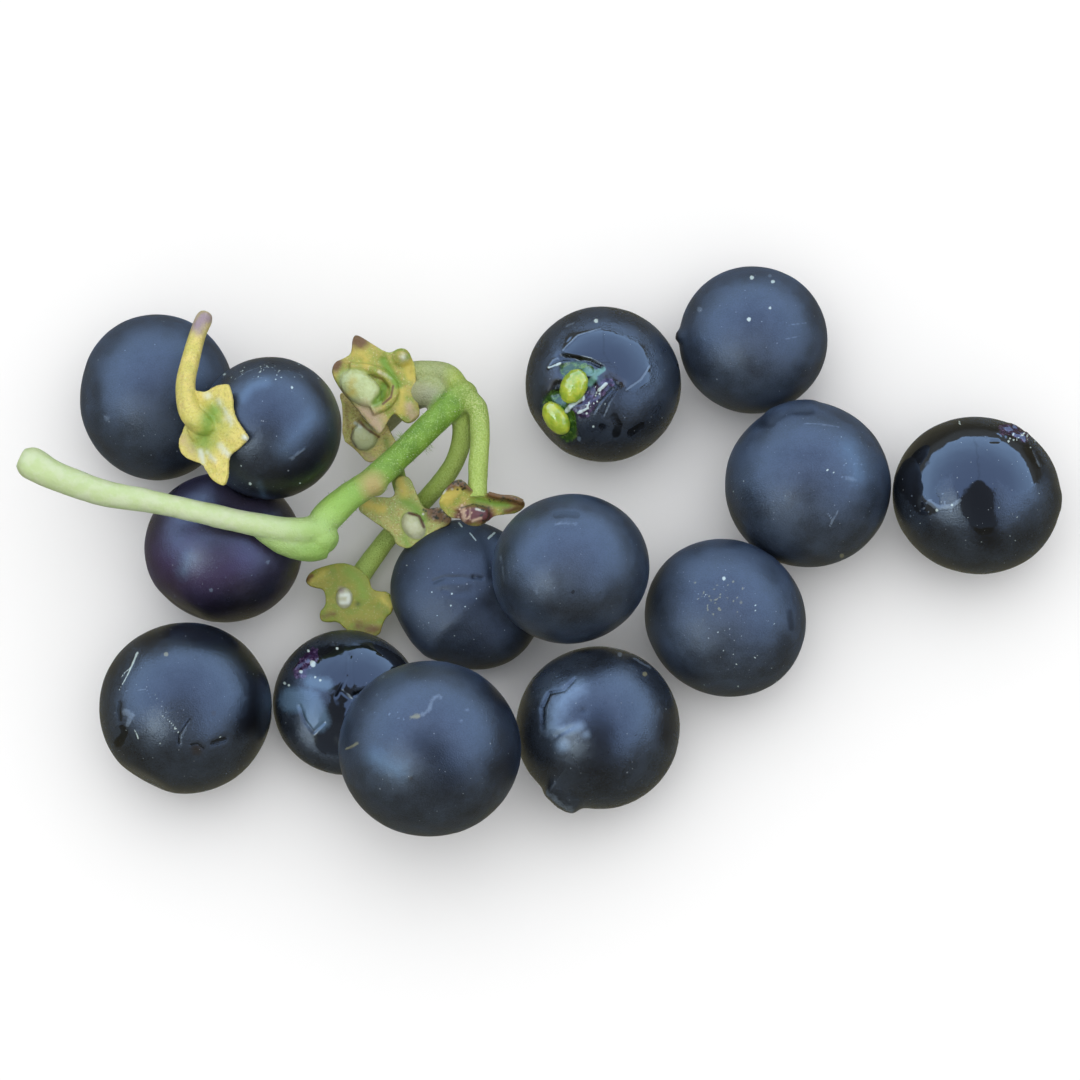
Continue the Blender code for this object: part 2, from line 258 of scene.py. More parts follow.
def cube_ball(steps: int) -> tuple[np.ndarray, np.ndarray]:
    """Spread an even grid of squares over a ball.

    Args:
        steps: Squares along each of the twelve edges of the cube that is blown up.

    Returns:
        Unit directions of the points, and the four point numbers of each face.
    """
    corners, faces = [], []
    line = np.arange(steps + 1) * 2 - steps
    across, along = np.meshgrid(line, line, indexing="ij")
    number = np.arange((steps + 1) ** 2).reshape(steps + 1, steps + 1)
    square = np.stack([number[:-1, :-1], number[1:, :-1], number[1:, 1:], number[:-1, 1:]], axis=-1)
    for axis in range(3):
        for side in (1, -1):
            grid = np.empty((steps + 1, steps + 1, 3), int)
            grid[..., axis] = steps * side
            grid[..., (axis + 1) % 3] = across
            grid[..., (axis + 2) % 3] = along
            order = square if side == 1 else square[..., ::-1]
            faces.append(order.reshape(-1, 4) + len(corners) * (steps + 1) ** 2)
            corners.append(grid.reshape(-1, 3))
    points, inverse = np.unique(np.concatenate(corners), axis=0, return_inverse=True)
    warped = np.tan(points / steps * (math.pi / 4))
    directions = warped / np.linalg.norm(warped, axis=1, keepdims=True)
    return directions, inverse.reshape(-1)[np.concatenate(faces)]


def make_piece(name: str, points: np.ndarray, faces: Iterable[Sequence[int]]) -> bpy.types.Object:
    """Make a smooth-shaded object that rides on the cluster's one body.

    Args:
        name: The object's name.
        points: Places in millimetres, one row each.
        faces: Point numbers of each face.

    Returns:
        The object.
    """
    mesh = bpy.data.meshes.new(name)
    mesh.from_pydata((np.asarray(points) * MM).tolist(), [], [list(face) for face in faces])
    mesh.shade_smooth()
    piece = bpy.data.objects.new(name, mesh)
    bpy.context.scene.collection.objects.link(piece)
    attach(piece, BODY)
    return piece


def read_points(piece: bpy.types.Object) -> np.ndarray:
    """Read the places of a piece's points in millimetres."""
    flat = np.empty(len(piece.data.vertices) * 3, np.float32)
    piece.data.vertices.foreach_get("co", flat)
    return flat.reshape(-1, 3).astype(float) / MM


def write_points(piece: bpy.types.Object, points: np.ndarray) -> None:
    """Move a piece's points to places in millimetres."""
    piece.data.vertices.foreach_set("co", (points * MM).astype(np.float32).ravel())
    piece.data.update()


def store(piece: bpy.types.Object, name: str, values: np.ndarray) -> None:
    """Keep one number for each point of a piece, for its material to read."""
    attribute = piece.data.attributes.new(name, "FLOAT", "POINT")
    attribute.data.foreach_set("value", np.asarray(values, np.float32))


@dataclass(frozen=True)
class Stroke:
    """One mark on a piece, drawn on the picture as a line of changing width.

    Attributes:
        points: Pixels along the mark; one point makes a round spot.
        width: Half width in pixels, at the first and the last point.
        tone: What it does to the surface, or None for a mark that is only a shape.
        lift: How far it stands out of the surface; less than 0 is sunk in.
        strength: How strong its tone is.
        flat: True for a step with a flat top, False for a rounded ridge or groove.
        crumbs: Height of fine crumbs on it.
    """

    points: tuple[Pixel, ...]
    width: tuple[float, float]
    tone: Tone | None = None
    lift: float = 0.0
    strength: float = 1.0
    flat: bool = False
    crumbs: float = 0.0

    def ratio(self, pixels: np.ndarray) -> np.ndarray:
        """Distance from the mark's middle line, where 1 is its edge.

        Args:
            pixels: Pixels across and down, one row each.

        Returns:
            One value a pixel.
        """
        knots = np.array(self.points, float)
        if len(knots) == 1:
            return np.linalg.norm((pixels - knots[0]) / np.array(self.width), axis=1)
        lengths = np.linalg.norm(np.diff(knots, axis=0), axis=1)
        best = np.full(len(pixels), np.inf)
        before = 0.0
        for start, end, length in zip(knots[:-1], knots[1:], lengths):
            along = np.clip((pixels - start) @ (end - start) / length**2, 0, 1)
            away = np.linalg.norm(pixels - start - along[:, None] * (end - start), axis=1)
            share = (before + along * length) / lengths.sum()
            best = np.minimum(best, away / (self.width[0] + (self.width[1] - self.width[0]) * share))
            before += length
        return best

    def profile(self, ratio: np.ndarray) -> np.ndarray:
        """Height of the mark's relief, from 0 to 1."""
        if self.flat:
            return 1 / (1 + np.minimum(ratio, 9) ** 10)
        return np.exp(-(ratio**2))


def spot(x: float, y: float, radius: float, tone: Tone | None, lift: float = 0.0,
         strength: float = 1.0) -> Stroke:
    """Make a round mark.

    Args:
        x: Pixels across.
        y: Pixels down.
        radius: Radius in pixels.
        tone: What it does to the surface.
        lift: How far it stands out.
        strength: How strong its tone is.

    Returns:
        The mark.
    """
    return Stroke(((x, y),), (radius, radius), tone, lift, strength)


def scatter(seed: int, count: int, middle: Pixel, spread: Pixel, radius: float,
            tone: Tone) -> tuple[Stroke, ...]:
    """Scatter small round marks, most thickly around one pixel.

    Args:
        seed: Any number; another one gives other places.
        count: How many.
        middle: The pixel.
        spread: How far they lie from it, across and down.
        radius: Their usual radius in pixels.
        tone: What they do to the surface.

    Returns:
        The marks.
    """
    rng = np.random.default_rng(seed)
    places = np.array(middle) + rng.normal(size=(count, 2)) * np.array(spread)
    return tuple(spot(x, y, radius * size, tone) for (x, y), size in zip(places, rng.uniform(0.6, 1.3, count)))


@dataclass
class Paint:
    """Tones and relief that strokes give to the points of one piece.

    Attributes:
        points: Places of the piece's points.
        seen: 1 where a point faces the camera and 0 where it faces away.
        camera: The camera that the strokes are drawn through.
    """

    points: np.ndarray
    seen: np.ndarray
    camera: PictureCamera
    fields: dict[Tone, np.ndarray] = field(default_factory=dict)

    def apply(self, strokes: Sequence[Stroke]) -> np.ndarray:
        """Add strokes to the tones.

        Args:
            strokes: The strokes.

        Returns:
            How far each point is lifted.
        """
        pixels = self.camera.project(self.points)
        crumbs = layered_noise(self.points, 0.55, 3.0, 2)
        lift = np.zeros(len(self.points))
        for stroke in strokes:
            ratio = stroke.ratio(pixels)
            height = stroke.lift + stroke.crumbs * crumbs
            lift += height * stroke.profile(ratio) * self.seen
            if stroke.tone is not None:
                value = np.clip(1 - 0.5 * ratio, 0, 1) * self.seen * stroke.strength
                before = self.fields.get(stroke.tone, np.zeros(len(self.points)))
                self.fields[stroke.tone] = np.maximum(before, value)
        return lift

    def store(self, piece: bpy.types.Object) -> None:
        """Keep the tones on a piece."""
        for tone, values in self.fields.items():
            store(piece, tone.value, values)


class NodeBench:
    """Lays out the nodes of one material or world and joins them."""

    def __init__(self, tree: bpy.types.NodeTree, place: str = "Object") -> None:
        """Start on a node tree.

        Args:
            tree: The tree.
            place: The texture coordinate that its textures use.
        """
        self.tree = tree
        self.shader = tree.nodes.get("Principled BSDF")
        self.place = self.node("ShaderNodeTexCoord").outputs[place]

    def node(self, kind: str, **settings: object) -> bpy.types.Node:
        """Add a node and set its properties by name."""
        node = self.tree.nodes.new(kind)
        for name, value in settings.items():
            setattr(node, name, value)
        return node

    def feed(self, socket: bpy.types.NodeSocket, value: object) -> None:
        """Give a socket a link, or a plain value."""
        if isinstance(value, bpy.types.NodeSocket):
            self.tree.links.new(value, socket)
        else:
            socket.default_value = value

    def math(self, operation: str, first: object, second: object = 0.0,
             clamp: bool = False) -> bpy.types.NodeSocket:
        """Join two numbers by an arithmetic step."""
        node = self.node("ShaderNodeMath", operation=operation, use_clamp=clamp)
        self.feed(node.inputs[0], first)
        self.feed(node.inputs[1], second)
        return node.outputs[0]

    def mix(self, share: object, first: object, second: object) -> bpy.types.NodeSocket:
        """Blend two colours."""
        node = self.node("ShaderNodeMix", data_type="RGBA")
        self.feed(node.inputs[0], share)
        self.feed(node.inputs[6], first)
        self.feed(node.inputs[7], second)
        return node.outputs[2]

    def blend(self, share: object, first: object, second: object) -> bpy.types.NodeSocket:
        """Blend two numbers."""
        node = self.node("ShaderNodeMix", data_type="FLOAT")
        self.feed(node.inputs[0], share)
        self.feed(node.inputs[2], first)
        self.feed(node.inputs[3], second)
        return node.outputs[0]

    def attribute(self, name: str) -> bpy.types.NodeSocket:
        """Read a number that the mesh keeps for each point."""
        return self.node("ShaderNodeAttribute", attribute_name=name).outputs["Fac"]

    def noise(self, scale: float, detail: float = 2.0, roughness: float = 0.5) -> bpy.types.NodeSocket:
        """Add a cloudy texture.

        Args:
            scale: Bumps in one unit of length.
            detail: How many finer layers it has.
            roughness: How strong the finer layers are.

        Returns:
            The texture's value, from 0 to 1.
        """
        node = self.node("ShaderNodeTexNoise")
        node.inputs["Scale"].default_value = scale
        node.inputs["Detail"].default_value = detail
        node.inputs["Roughness"].default_value = roughness
        self.feed(node.inputs["Vector"], self.place)
        return node.outputs[0]

    def clouds(self, size: float, detail: float = 2.0, roughness: float = 0.5) -> bpy.types.NodeSocket:
        """Add a cloudy texture whose bumps have a width in millimetres."""
        return self.noise(1 / (size * MM), detail, roughness)

    def specks(self, size: float, radius: float, share: float) -> bpy.types.NodeSocket:
        """Scatter tiny round dots.

        Args:
            size: Distance between the places where a dot may be.
            radius: Radius of a dot, as a share of that distance.
            share: Share of the places that have one.

        Returns:
            1 on a dot and 0 off it.
        """
        cells = self.node("ShaderNodeTexVoronoi")
        cells.inputs["Scale"].default_value = 1 / (size * MM)
        self.feed(cells.inputs["Vector"], self.place)
        split = self.node("ShaderNodeSeparateColor")
        self.feed(split.inputs[0], cells.outputs["Color"])
        chosen = self.math("LESS_THAN", split.outputs[0], share)
        grown = self.math("MULTIPLY", cells.outputs["Distance"], self.math("ADD", split.outputs[1], 0.7))
        return self.math("MULTIPLY", self.ramp(grown, radius, radius * 0.4), chosen)

    def ramp(self, value: object, low: float, high: float) -> bpy.types.NodeSocket:
        """Turn a value smoothly into 0 at low and 1 at high."""
        node = self.node("ShaderNodeMapRange", interpolation_type="SMOOTHSTEP")
        self.feed(node.inputs["Value"], value)
        rising = high > low
        node.inputs["From Min"].default_value = low if rising else high
        node.inputs["From Max"].default_value = high if rising else low
        node.inputs["To Min"].default_value = 0.0 if rising else 1.0
        node.inputs["To Max"].default_value = 1.0 if rising else 0.0
        return node.outputs[0]

    def mark(self, tone: Tone, ragged: object, raggedness: float = 0.3,
             softness: float = 0.06) -> bpy.types.NodeSocket:
        """Cut a mark's soft field to a shape with an uneven edge.

        Args:
            tone: Which marks.
            ragged: Noise that makes the edge uneven.
            raggedness: How far it does.
            softness: Half width of the edge's blur.

        Returns:
            1 in the mark and 0 outside.
        """
        shift = self.math("MULTIPLY", self.math("SUBTRACT", ragged, 0.5), raggedness)
        moved = self.math("ADD", self.attribute(tone.value), shift)
        return self.ramp(moved, 0.5 - softness, 0.5 + softness)

    def stain(self, tone: Tone, ragged: object, raggedness: float) -> bpy.types.NodeSocket:
        """Let a mark fade out slowly and unevenly.

        Args:
            tone: Which marks.
            ragged: Noise that makes the mark uneven.
            raggedness: How far it does.

        Returns:
            1 in the middle of the mark and 0 outside.
        """
        shift = self.math("MULTIPLY", self.math("SUBTRACT", ragged, 0.5), raggedness)
        field_value = self.math("MULTIPLY", self.attribute(tone.value), 1.3)
        return self.ramp(self.math("ADD", field_value, shift), 0.3, 1.0)

    def bump(self, layers: Sequence[tuple[object, float]]) -> None:
        """Roughen the surface by one or more textures, each with its height in millimetres."""
        total = None
        for height, distance in layers:
            part = self.math("MULTIPLY", height, distance)
            total = part if total is None else self.math("ADD", total, part)
        node = self.node("ShaderNodeBump")
        node.inputs["Strength"].default_value = 1.0
        node.inputs["Distance"].default_value = MM
        self.feed(node.inputs["Height"], total)
        self.feed(self.shader.inputs["Normal"], node.outputs[0])


def new_material(name: str) -> tuple[bpy.types.Material, NodeBench]:
    """Make a material and the bench that its nodes are laid out on."""
    material = bpy.data.materials.new(name)
    material.use_nodes = True
    return material, NodeBench(material.node_tree)


@dataclass(frozen=True)
class MarkLook:
    """How one tone shows on a berry.

    Attributes:
        colour: Its colour.
        share: How much of the skin's own colour it hides.
        raggedness: How uneven its edge is.
        softness: How blurred its edge is.
    """

    colour: Colour
    share: float = 1.0
    raggedness: float = 0.4
    softness: float = 0.08


@dataclass(frozen=True)
class BerrySkin:
    """The waxy skin of one berry.

    Attributes:
        deep: Colour of bare skin.
        bloom: Colour of the waxy bloom.
        bloom_share: How much of the skin the bloom covers.
        roughness: Roughness where the skin is dry.
        wet_roughness: Roughness where it is wet.
        grain: Height of the fine grain.
        dust: Share of places with a speck of dust.
        painted_sheen: Colour of a patch of painted reflection and painted highlight.
        painted_sheen_softness: How blurred the edge of such a painted patch is.
    """

    deep: Colour = (0.008, 0.009, 0.011, 1.0)
    bloom: Colour = (0.038, 0.051, 0.070, 1.0)
    bloom_share: float = 0.55
    roughness: float = 0.34
    wet_roughness: float = 0.04
    grain: float = 0.028
    dust: float = 0.24
    painted_sheen: Colour = (0.08, 0.135, 0.20, 1.0)
    painted_sheen_softness: float = 0.35

    def looks(self) -> dict[Tone, MarkLook]:
        """List how the tones show, in the order in which they are laid on."""
        return {
            Tone.VIOLET: MarkLook((0.034, 0.014, 0.050, 1.0), 0.75, 0.5, 0.35),
            Tone.SHADE: MarkLook((0.003, 0.003, 0.004, 1.0), 0.9, 0.4, 0.35),
            # PALE is partly real pale scuffs and scratches, partly painted highlights
            Tone.PALE: MarkLook((0.20, 0.26, 0.33, 1.0), 0.42, 0.7, 0.15),
            Tone.TAN: MarkLook((0.30, 0.29, 0.17, 1.0), 0.55, 0.5, 0.12),
            Tone.BROWN: MarkLook((0.020, 0.015, 0.011, 1.0), 0.9, 0.5, 0.2),
            Tone.DARK: MarkLook((0.002, 0.002, 0.002, 1.0)),
            Tone.FLESH: MarkLook((0.024, 0.070, 0.008, 1.0), 1.0, 0.3, 0.1),
            # painted reflection and painted highlight: a pale blue patch for the sky mirrored in the skin
            Tone.PAINTED_SHEEN: MarkLook(self.painted_sheen, 0.9, 0.3, self.painted_sheen_softness),
            Tone.TISSUE: MarkLook((0.022, 0.009, 0.034, 1.0), 1.0, 0.8),
            # WHITE is partly real white bits and dust, partly painted glints
            Tone.WHITE: MarkLook((0.55, 0.66, 0.64, 1.0), 0.8, 0.7, 0.12),
        }

    def material(self, name: str, tones: Iterable[Tone]) -> bpy.types.Material:
        """Build the skin's material.

        Args:
            name: The material's name.
            tones: The tones that the berry's marks use.

        Returns:
            The material.
        """
        material, bench = new_material(name)
        clouds = bench.clouds(3.0, 3, 0.6)
        fine = bench.clouds(0.13, 2, 0.7)
        dusting = bench.math("MULTIPLY", bench.ramp(clouds, 0.25, 0.75), self.bloom_share)
        pepper = bench.math("MULTIPLY", bench.ramp(fine, 0.25, 0.75), self.bloom_share * 0.7)
        share = bench.math("ADD", pepper, dusting)
        wet = None
        ragged = None
        if tones:
            ragged = bench.clouds(0.4, 3, 0.7)
        if Tone.WET in tones:
            wet = bench.mark(Tone.WET, ragged, 0.22)
            share = bench.math("MULTIPLY", share, bench.math("SUBTRACT", 1.0, wet))
        colour = bench.mix(share, self.deep, self.bloom)
        shine = wet
        for tone, look in self.looks().items():
            if tone not in tones:
                continue
            cover = bench.mark(tone, ragged, look.raggedness, look.softness)
            shade: object = look.colour
            if tone in (Tone.TISSUE, Tone.FLESH):
                light = (0.12, 0.08, 0.16, 1.0) if tone is Tone.TISSUE else (0.13, 0.25, 0.03, 1.0)
                shade = bench.mix(bench.ramp(ragged, 0.48, 0.72), look.colour, light)
                shine = cover if shine is None else bench.math("MAXIMUM", shine, cover)
            colour = bench.mix(bench.math("MULTIPLY", cover, look.share), colour, shade)
        dust = bench.math("MAXIMUM", bench.specks(1.1, 0.07, self.dust), bench.specks(0.42, 0.12, self.dust * 1.2))
        colour = bench.mix(bench.math("MULTIPLY", dust, 0.5), colour, (0.38, 0.43, 0.46, 1.0))
        bench.feed(bench.shader.inputs["Base Color"], colour)
        dull = bench.blend(bench.ramp(clouds, 0.3, 0.7), self.roughness * 0.85, self.roughness * 1.15)
        if shine is not None:
            dull = bench.blend(shine, dull, self.wet_roughness)
        bench.feed(bench.shader.inputs["Roughness"], dull)
        bench.shader.inputs["IOR"].default_value = 1.47
        grainy: object = fine
        if wet is not None:
            grainy = bench.math("MULTIPLY", fine, bench.math("SUBTRACT", 1.05, wet))
        bench.bump([(grainy, self.grain), (clouds, 0.04)])
        return material


@dataclass
class BerryShape:
    """One berry: the solid it stands for, what presses on it, and its marks.

    Attributes:
        node: Name of the solid.
        skin: Its finish.
        pressed_by: Berries that press a dent into it.
        flat_side: Direction in degrees and depth of a flattened side.
        oval: How much longer it is than wide seen from above, and the long way in degrees.
        marks: What is drawn on its skin.
        lumps: Height of its slow unevenness.
        steps: Fineness of its mesh.
        slot: The record's slot for its finish; it is not used.
        press_gap: Gap to a berry that presses on it.
        foot_height: Height below which it stands flat on the surface.
    """

    node: str
    skin: BerrySkin = field(default_factory=BerrySkin)
    pressed_by: tuple[str, ...] = ()
    flat_side: tuple[float, float] | None = None
    oval: tuple[float, float] = (0.0, 0.0)
    marks: tuple[Stroke, ...] = ()
    lumps: float = 0.1
    steps: int = 44
    slot: Slot = Slot.BERRY
    press_gap: float = 0.05
    foot_height: float = 0.12

    def reach(self, directions: np.ndarray) -> np.ndarray:
        """Distance from the berry's middle to its skin.

        Args:
            directions: Unit directions, one row each.

        Returns:
            One distance a direction.
        """
        middle, half = box_of(self.node)
        reach = 1 / np.linalg.norm(directions / half, axis=1)
        turn = np.arctan2(directions[:, 1], directions[:, 0]) - math.radians(self.oval[1])
        level = 1 - directions[:, 2] ** 2
        reach *= 1 + self.oval[0] * np.cos(2 * turn) * level
        for name in self.pressed_by:
            other, sizes = box_of(name)
            sizes = sizes + self.press_gap
            offset = (middle - other) / sizes
            slope = directions / sizes
            a = (slope**2).sum(1)
            b = 2 * slope @ offset
            root = b * b - 4 * a * (offset @ offset - 1)
            entry = np.where(root > 0, (-b - np.sqrt(np.maximum(root, 0))) / (2 * a), np.inf)
            reach = soft_least(reach, np.where(entry > 0, entry, np.inf), 0.35)
        if self.flat_side is not None:
            angle = math.radians(self.flat_side[0])
            across = directions @ np.array([math.cos(angle), math.sin(angle), 0.0])
            wall = np.where(across > 0.05, (half[0] - self.flat_side[1]) / np.maximum(across, 0.05), np.inf)
            reach = soft_least(reach, wall, 0.3)
        return reach

    def build(self, camera: PictureCamera) -> bpy.types.Object:
        """Make the berry.

        Args:
            camera: The camera that the marks are drawn through.

        Returns:
            The piece.
        """
        directions, faces = cube_ball(self.steps)
        base = box_of(self.node)[0] + directions * self.reach(directions)[:, None]
        seed = float(self.node[-2:])
        swell = self.lumps * (layered_noise(base, 5.0, seed) - 0.4)
        swell += 0.006 * value_noise(base, 0.5, seed)
        paint = Paint(base, np.clip((directions @ camera.back) * 4 + 0.4, 0, 1), camera)
        swell += paint.apply(self.marks)
        points = base + directions * swell[:, None]
        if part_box(self.node)[0].z / MM < 0.01:
            points[:, 2] = np.where(points[:, 2] < self.foot_height, 0.0, points[:, 2])
        piece = make_piece(f"{self.node}_skin", points, faces)
        paint.store(piece)
        piece.data.materials.append(self.skin.material(f"{self.node} skin", set(paint.fields)))
        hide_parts(self.node)
        return piece


def soft_least(first: np.ndarray, second: np.ndarray, width: float) -> np.ndarray:
    """The smaller of two values, rounded off where they are nearly equal."""
    second = np.minimum(second, 1e6)
    gap = np.clip(width - np.abs(first - second), 0, width)
    return np.minimum(first, second) - gap**2 / (4 * width)


def curve_rows(knots: np.ndarray, step: float = 0.25) -> np.ndarray:
    """Put close points on a smooth curve.

    Args:
        knots: Points of x, y, z and radius that it runs through.
        step: Distance between two points.

    Returns:
        Rows of x, y, z and radius.
    """
    padded = np.vstack([2 * knots[0] - knots[1], knots, 2 * knots[-1] - knots[-2]])
    rows = []
    for index in range(1, len(padded) - 2):
        before, start, end, after = padded[index - 1:index + 3]
        count = max(2, int(np.linalg.norm((end - start)[:3]) / step))
        for t in np.arange(count) / count:
            rows.append(0.5 * (2 * start + (end - before) * t
                               + (2 * before - 5 * start + 4 * end - after) * t**2
                               + (3 * start - before - 3 * end + after) * t**3))
    rows.append(knots[-1])
    return np.array(rows)


def tube_shell(rows: np.ndarray, sides: int = 20) -> tuple[np.ndarray, list[list[int]]]:
    """Points and faces of a closed round tube.

    Args:
        rows: Rows of x, y, z and radius.
        sides: Sides of its cross section.

    Returns:
        Points and faces.
    """
    centres, radii = rows[:, :3], rows[:, 3]
    tangents = np.gradient(centres, axis=0)
    tangents /= np.linalg.norm(tangents, axis=1, keepdims=True)
    side = np.cross(tangents[0], [0.3, 0.2, 1.0])
    points, faces = [], []
    angles = np.arange(sides) / sides * math.tau
    for centre, tangent, radius in zip(centres, tangents, radii):
        side = side - tangent * (side @ tangent)
        side /= np.linalg.norm(side)
        other = np.cross(tangent, side)
        points.append(centre + (np.outer(np.cos(angles), side) + np.outer(np.sin(angles), other)) * radius)
    for ring in range(len(rows) - 1):
        for here in range(sides):
            after = (here + 1) % sides
            low, high = ring * sides, (ring + 1) * sides
            faces.append([low + here, low + after, high + after, high + here])
    faces.append(list(range(sides))[::-1])
    faces.append([(len(rows) - 1) * sides + here for here in range(sides)])
    return np.concatenate(points), faces


@dataclass(frozen=True)
class Limb:
    """A round stem that runs smoothly through the points of its route.

    Attributes:
        route: Points of x, y, z and radius, before the cluster's middle was moved.
    """

    route: tuple[tuple[float, float, float, float], ...]

    def rows(self) -> np.ndarray:
        """Points of x, y, z and radius, close together along the stem."""
        return curve_rows(np.array(self.route) + np.array([*cluster_offset(), 0.0, 0.0]))

    def shell(self) -> tuple[np.ndarray, list[list[int]]]:
        """Points and faces of the closed tube."""
        return tube_shell(self.rows())


def ball_shell(centre: Sequence[float], sizes: Sequence[float],
               turn: np.ndarray | None = None) -> tuple[np.ndarray, list[list[int]]]:
    """Points and faces of an ellipsoid.

    Args:
        centre: Its middle.
        sizes: Its three half sizes.
        turn: Its own axes, one a column.

    Returns:
        Points and faces.
    """
    directions, faces = cube_ball(8)
    points = directions * np.array(sizes)
    if turn is not None:
        points = points @ turn.T
    return points + np.array(centre), faces.tolist()


def melt(name: str, shells: Sequence[tuple[np.ndarray, Sequence[Sequence[int]]]], voxel: float,
         smoothing: int) -> bpy.types.Object:
    """Grow overlapping shells together into one smooth skin.

    Args:
        name: Name of the piece.
        shells: Points and faces of each shell.
        voxel: Fineness of the skin.
        smoothing: How often its points are evened out.

    Returns:
        The piece.
    """
    points, faces, count = [], [], 0
    for shell_points, shell_faces in shells:
        points.append(shell_points)
        faces += [[corner + count for corner in face] for face in shell_faces]
        count += len(shell_points)
    piece = make_piece(name, np.concatenate(points), faces)
    remesh = piece.modifiers.new("grown together", "REMESH")
    remesh.mode = "VOXEL"
    remesh.voxel_size = voxel * MM
    smooth = piece.modifiers.new("evened out", "SMOOTH")
    smooth.factor = 0.5
    smooth.iterations = smoothing
    bpy.context.view_layer.update()
    graph = bpy.context.evaluated_depsgraph_get()
    mesh = bpy.data.meshes.new_from_object(piece.evaluated_get(graph))
    piece.modifiers.clear()
    piece.data = mesh
    mesh.shade_smooth()
    return piece


def read_normals(piece: bpy.types.Object) -> np.ndarray:
    """Read the directions that a piece's points face."""
    flat = np.empty(len(piece.data.vertices) * 3, np.float32)
    piece.data.vertices.foreach_get("normal", flat)
    return flat.reshape(-1, 3).astype(float)


def route_distance(points: np.ndarray, rows: np.ndarray) -> tuple[np.ndarray, np.ndarray]:
    """Find how far points are from a route, and where along it.

    Args:
        points: Places, one row each.
        rows: Close points along the route.

    Returns:
        Distance, and share of the route's length, one each a point.
    """
    best = np.full(len(points), np.inf)
    share = np.zeros(len(points))
    for number, row in enumerate(rows[:, :3]):
        away = np.linalg.norm(points - row, axis=1)
        closer = away < best
        best[closer] = away[closer]
        share[closer] = number / max(1, len(rows) - 1)
    return best, share


@dataclass(frozen=True)
class StalkSkin:
    """The green skin of the stalk.

    Attributes:
        old: Colour of the old, pale end.
        green: Colour of the fresh stem.
        shade: Colour of its darker mottling.
        pimple: Colour of its pale pimples.
        roughness: Roughness of the skin.
    """

    old: Colour = (0.57, 0.65, 0.40, 1.0)
    green: Colour = (0.18, 0.32, 0.035, 1.0)
    shade: Colour = (0.11, 0.22, 0.018, 1.0)
    pimple: Colour = (0.40, 0.52, 0.18, 1.0)
    roughness: float = 0.42

    def material(self, name: str = "stalk skin") -> bpy.types.Material:
        """Build the stalk's material."""
        material, bench = new_material(name)
        pimples = bench.clouds(0.14, 1, 0.6)
        streaks = bench.clouds(1.1, 3, 0.6)
        colour = bench.mix(bench.ramp(streaks, 0.3, 0.7), self.shade, self.green)
        colour = bench.mix(bench.math("MULTIPLY", bench.ramp(pimples, 0.52, 0.72), 0.6), colour, self.pimple)
        colour = bench.mix(bench.attribute(Tone.PALE.value), colour, (0.32, 0.52, 0.11, 1.0))
        colour = bench.mix(bench.attribute(Tone.OLD.value), colour,
                           bench.mix(bench.ramp(streaks, 0.35, 0.65), (0.51, 0.62, 0.31, 1.0), self.old))
        colour = bench.mix(bench.attribute(Tone.YELLOW.value), colour,
                           bench.mix(streaks, (0.30, 0.36, 0.04, 1.0), (0.42, 0.48, 0.10, 1.0)))
        colour = bench.mix(bench.attribute(Tone.PURPLE.value), colour,
                           bench.mix(pimples, (0.24, 0.26, 0.15, 1.0), (0.46, 0.42, 0.32, 1.0)))
        colour = bench.mix(bench.attribute(Tone.WHITE.value), colour,
                           bench.mix(bench.ramp(pimples, 0.35, 0.7), (0.22, 0.32, 0.05, 1.0),
                                     (0.44, 0.50, 0.19, 1.0)))
        colour = bench.mix(bench.attribute(Tone.GREEN.value), colour,
                           bench.mix(pimples, (0.26, 0.37, 0.05, 1.0), (0.50, 0.62, 0.18, 1.0)))
        colour = bench.mix(bench.attribute(Tone.PINK.value), colour, (0.46, 0.34, 0.14, 1.0))
        bench.feed(bench.shader.inputs["Base Color"], colour)
        bench.shader.inputs["Roughness"].default_value = self.roughness
        bench.shader.inputs["Specular IOR Level"].default_value = 0.22
        bench.shader.inputs["Subsurface Weight"].default_value = 0.12
        bench.shader.inputs["Subsurface Radius"].default_value = (0.6, 0.8, 0.3)
        bench.shader.inputs["Subsurface Scale"].default_value = 0.5 * MM
        smooth = bench.math("SUBTRACT", 1.1, bench.attribute(Tone.OLD.value), clamp=True)
        bench.bump([(bench.math("MULTIPLY", pimples, smooth), 0.10), (streaks, 0.10)])
        return material


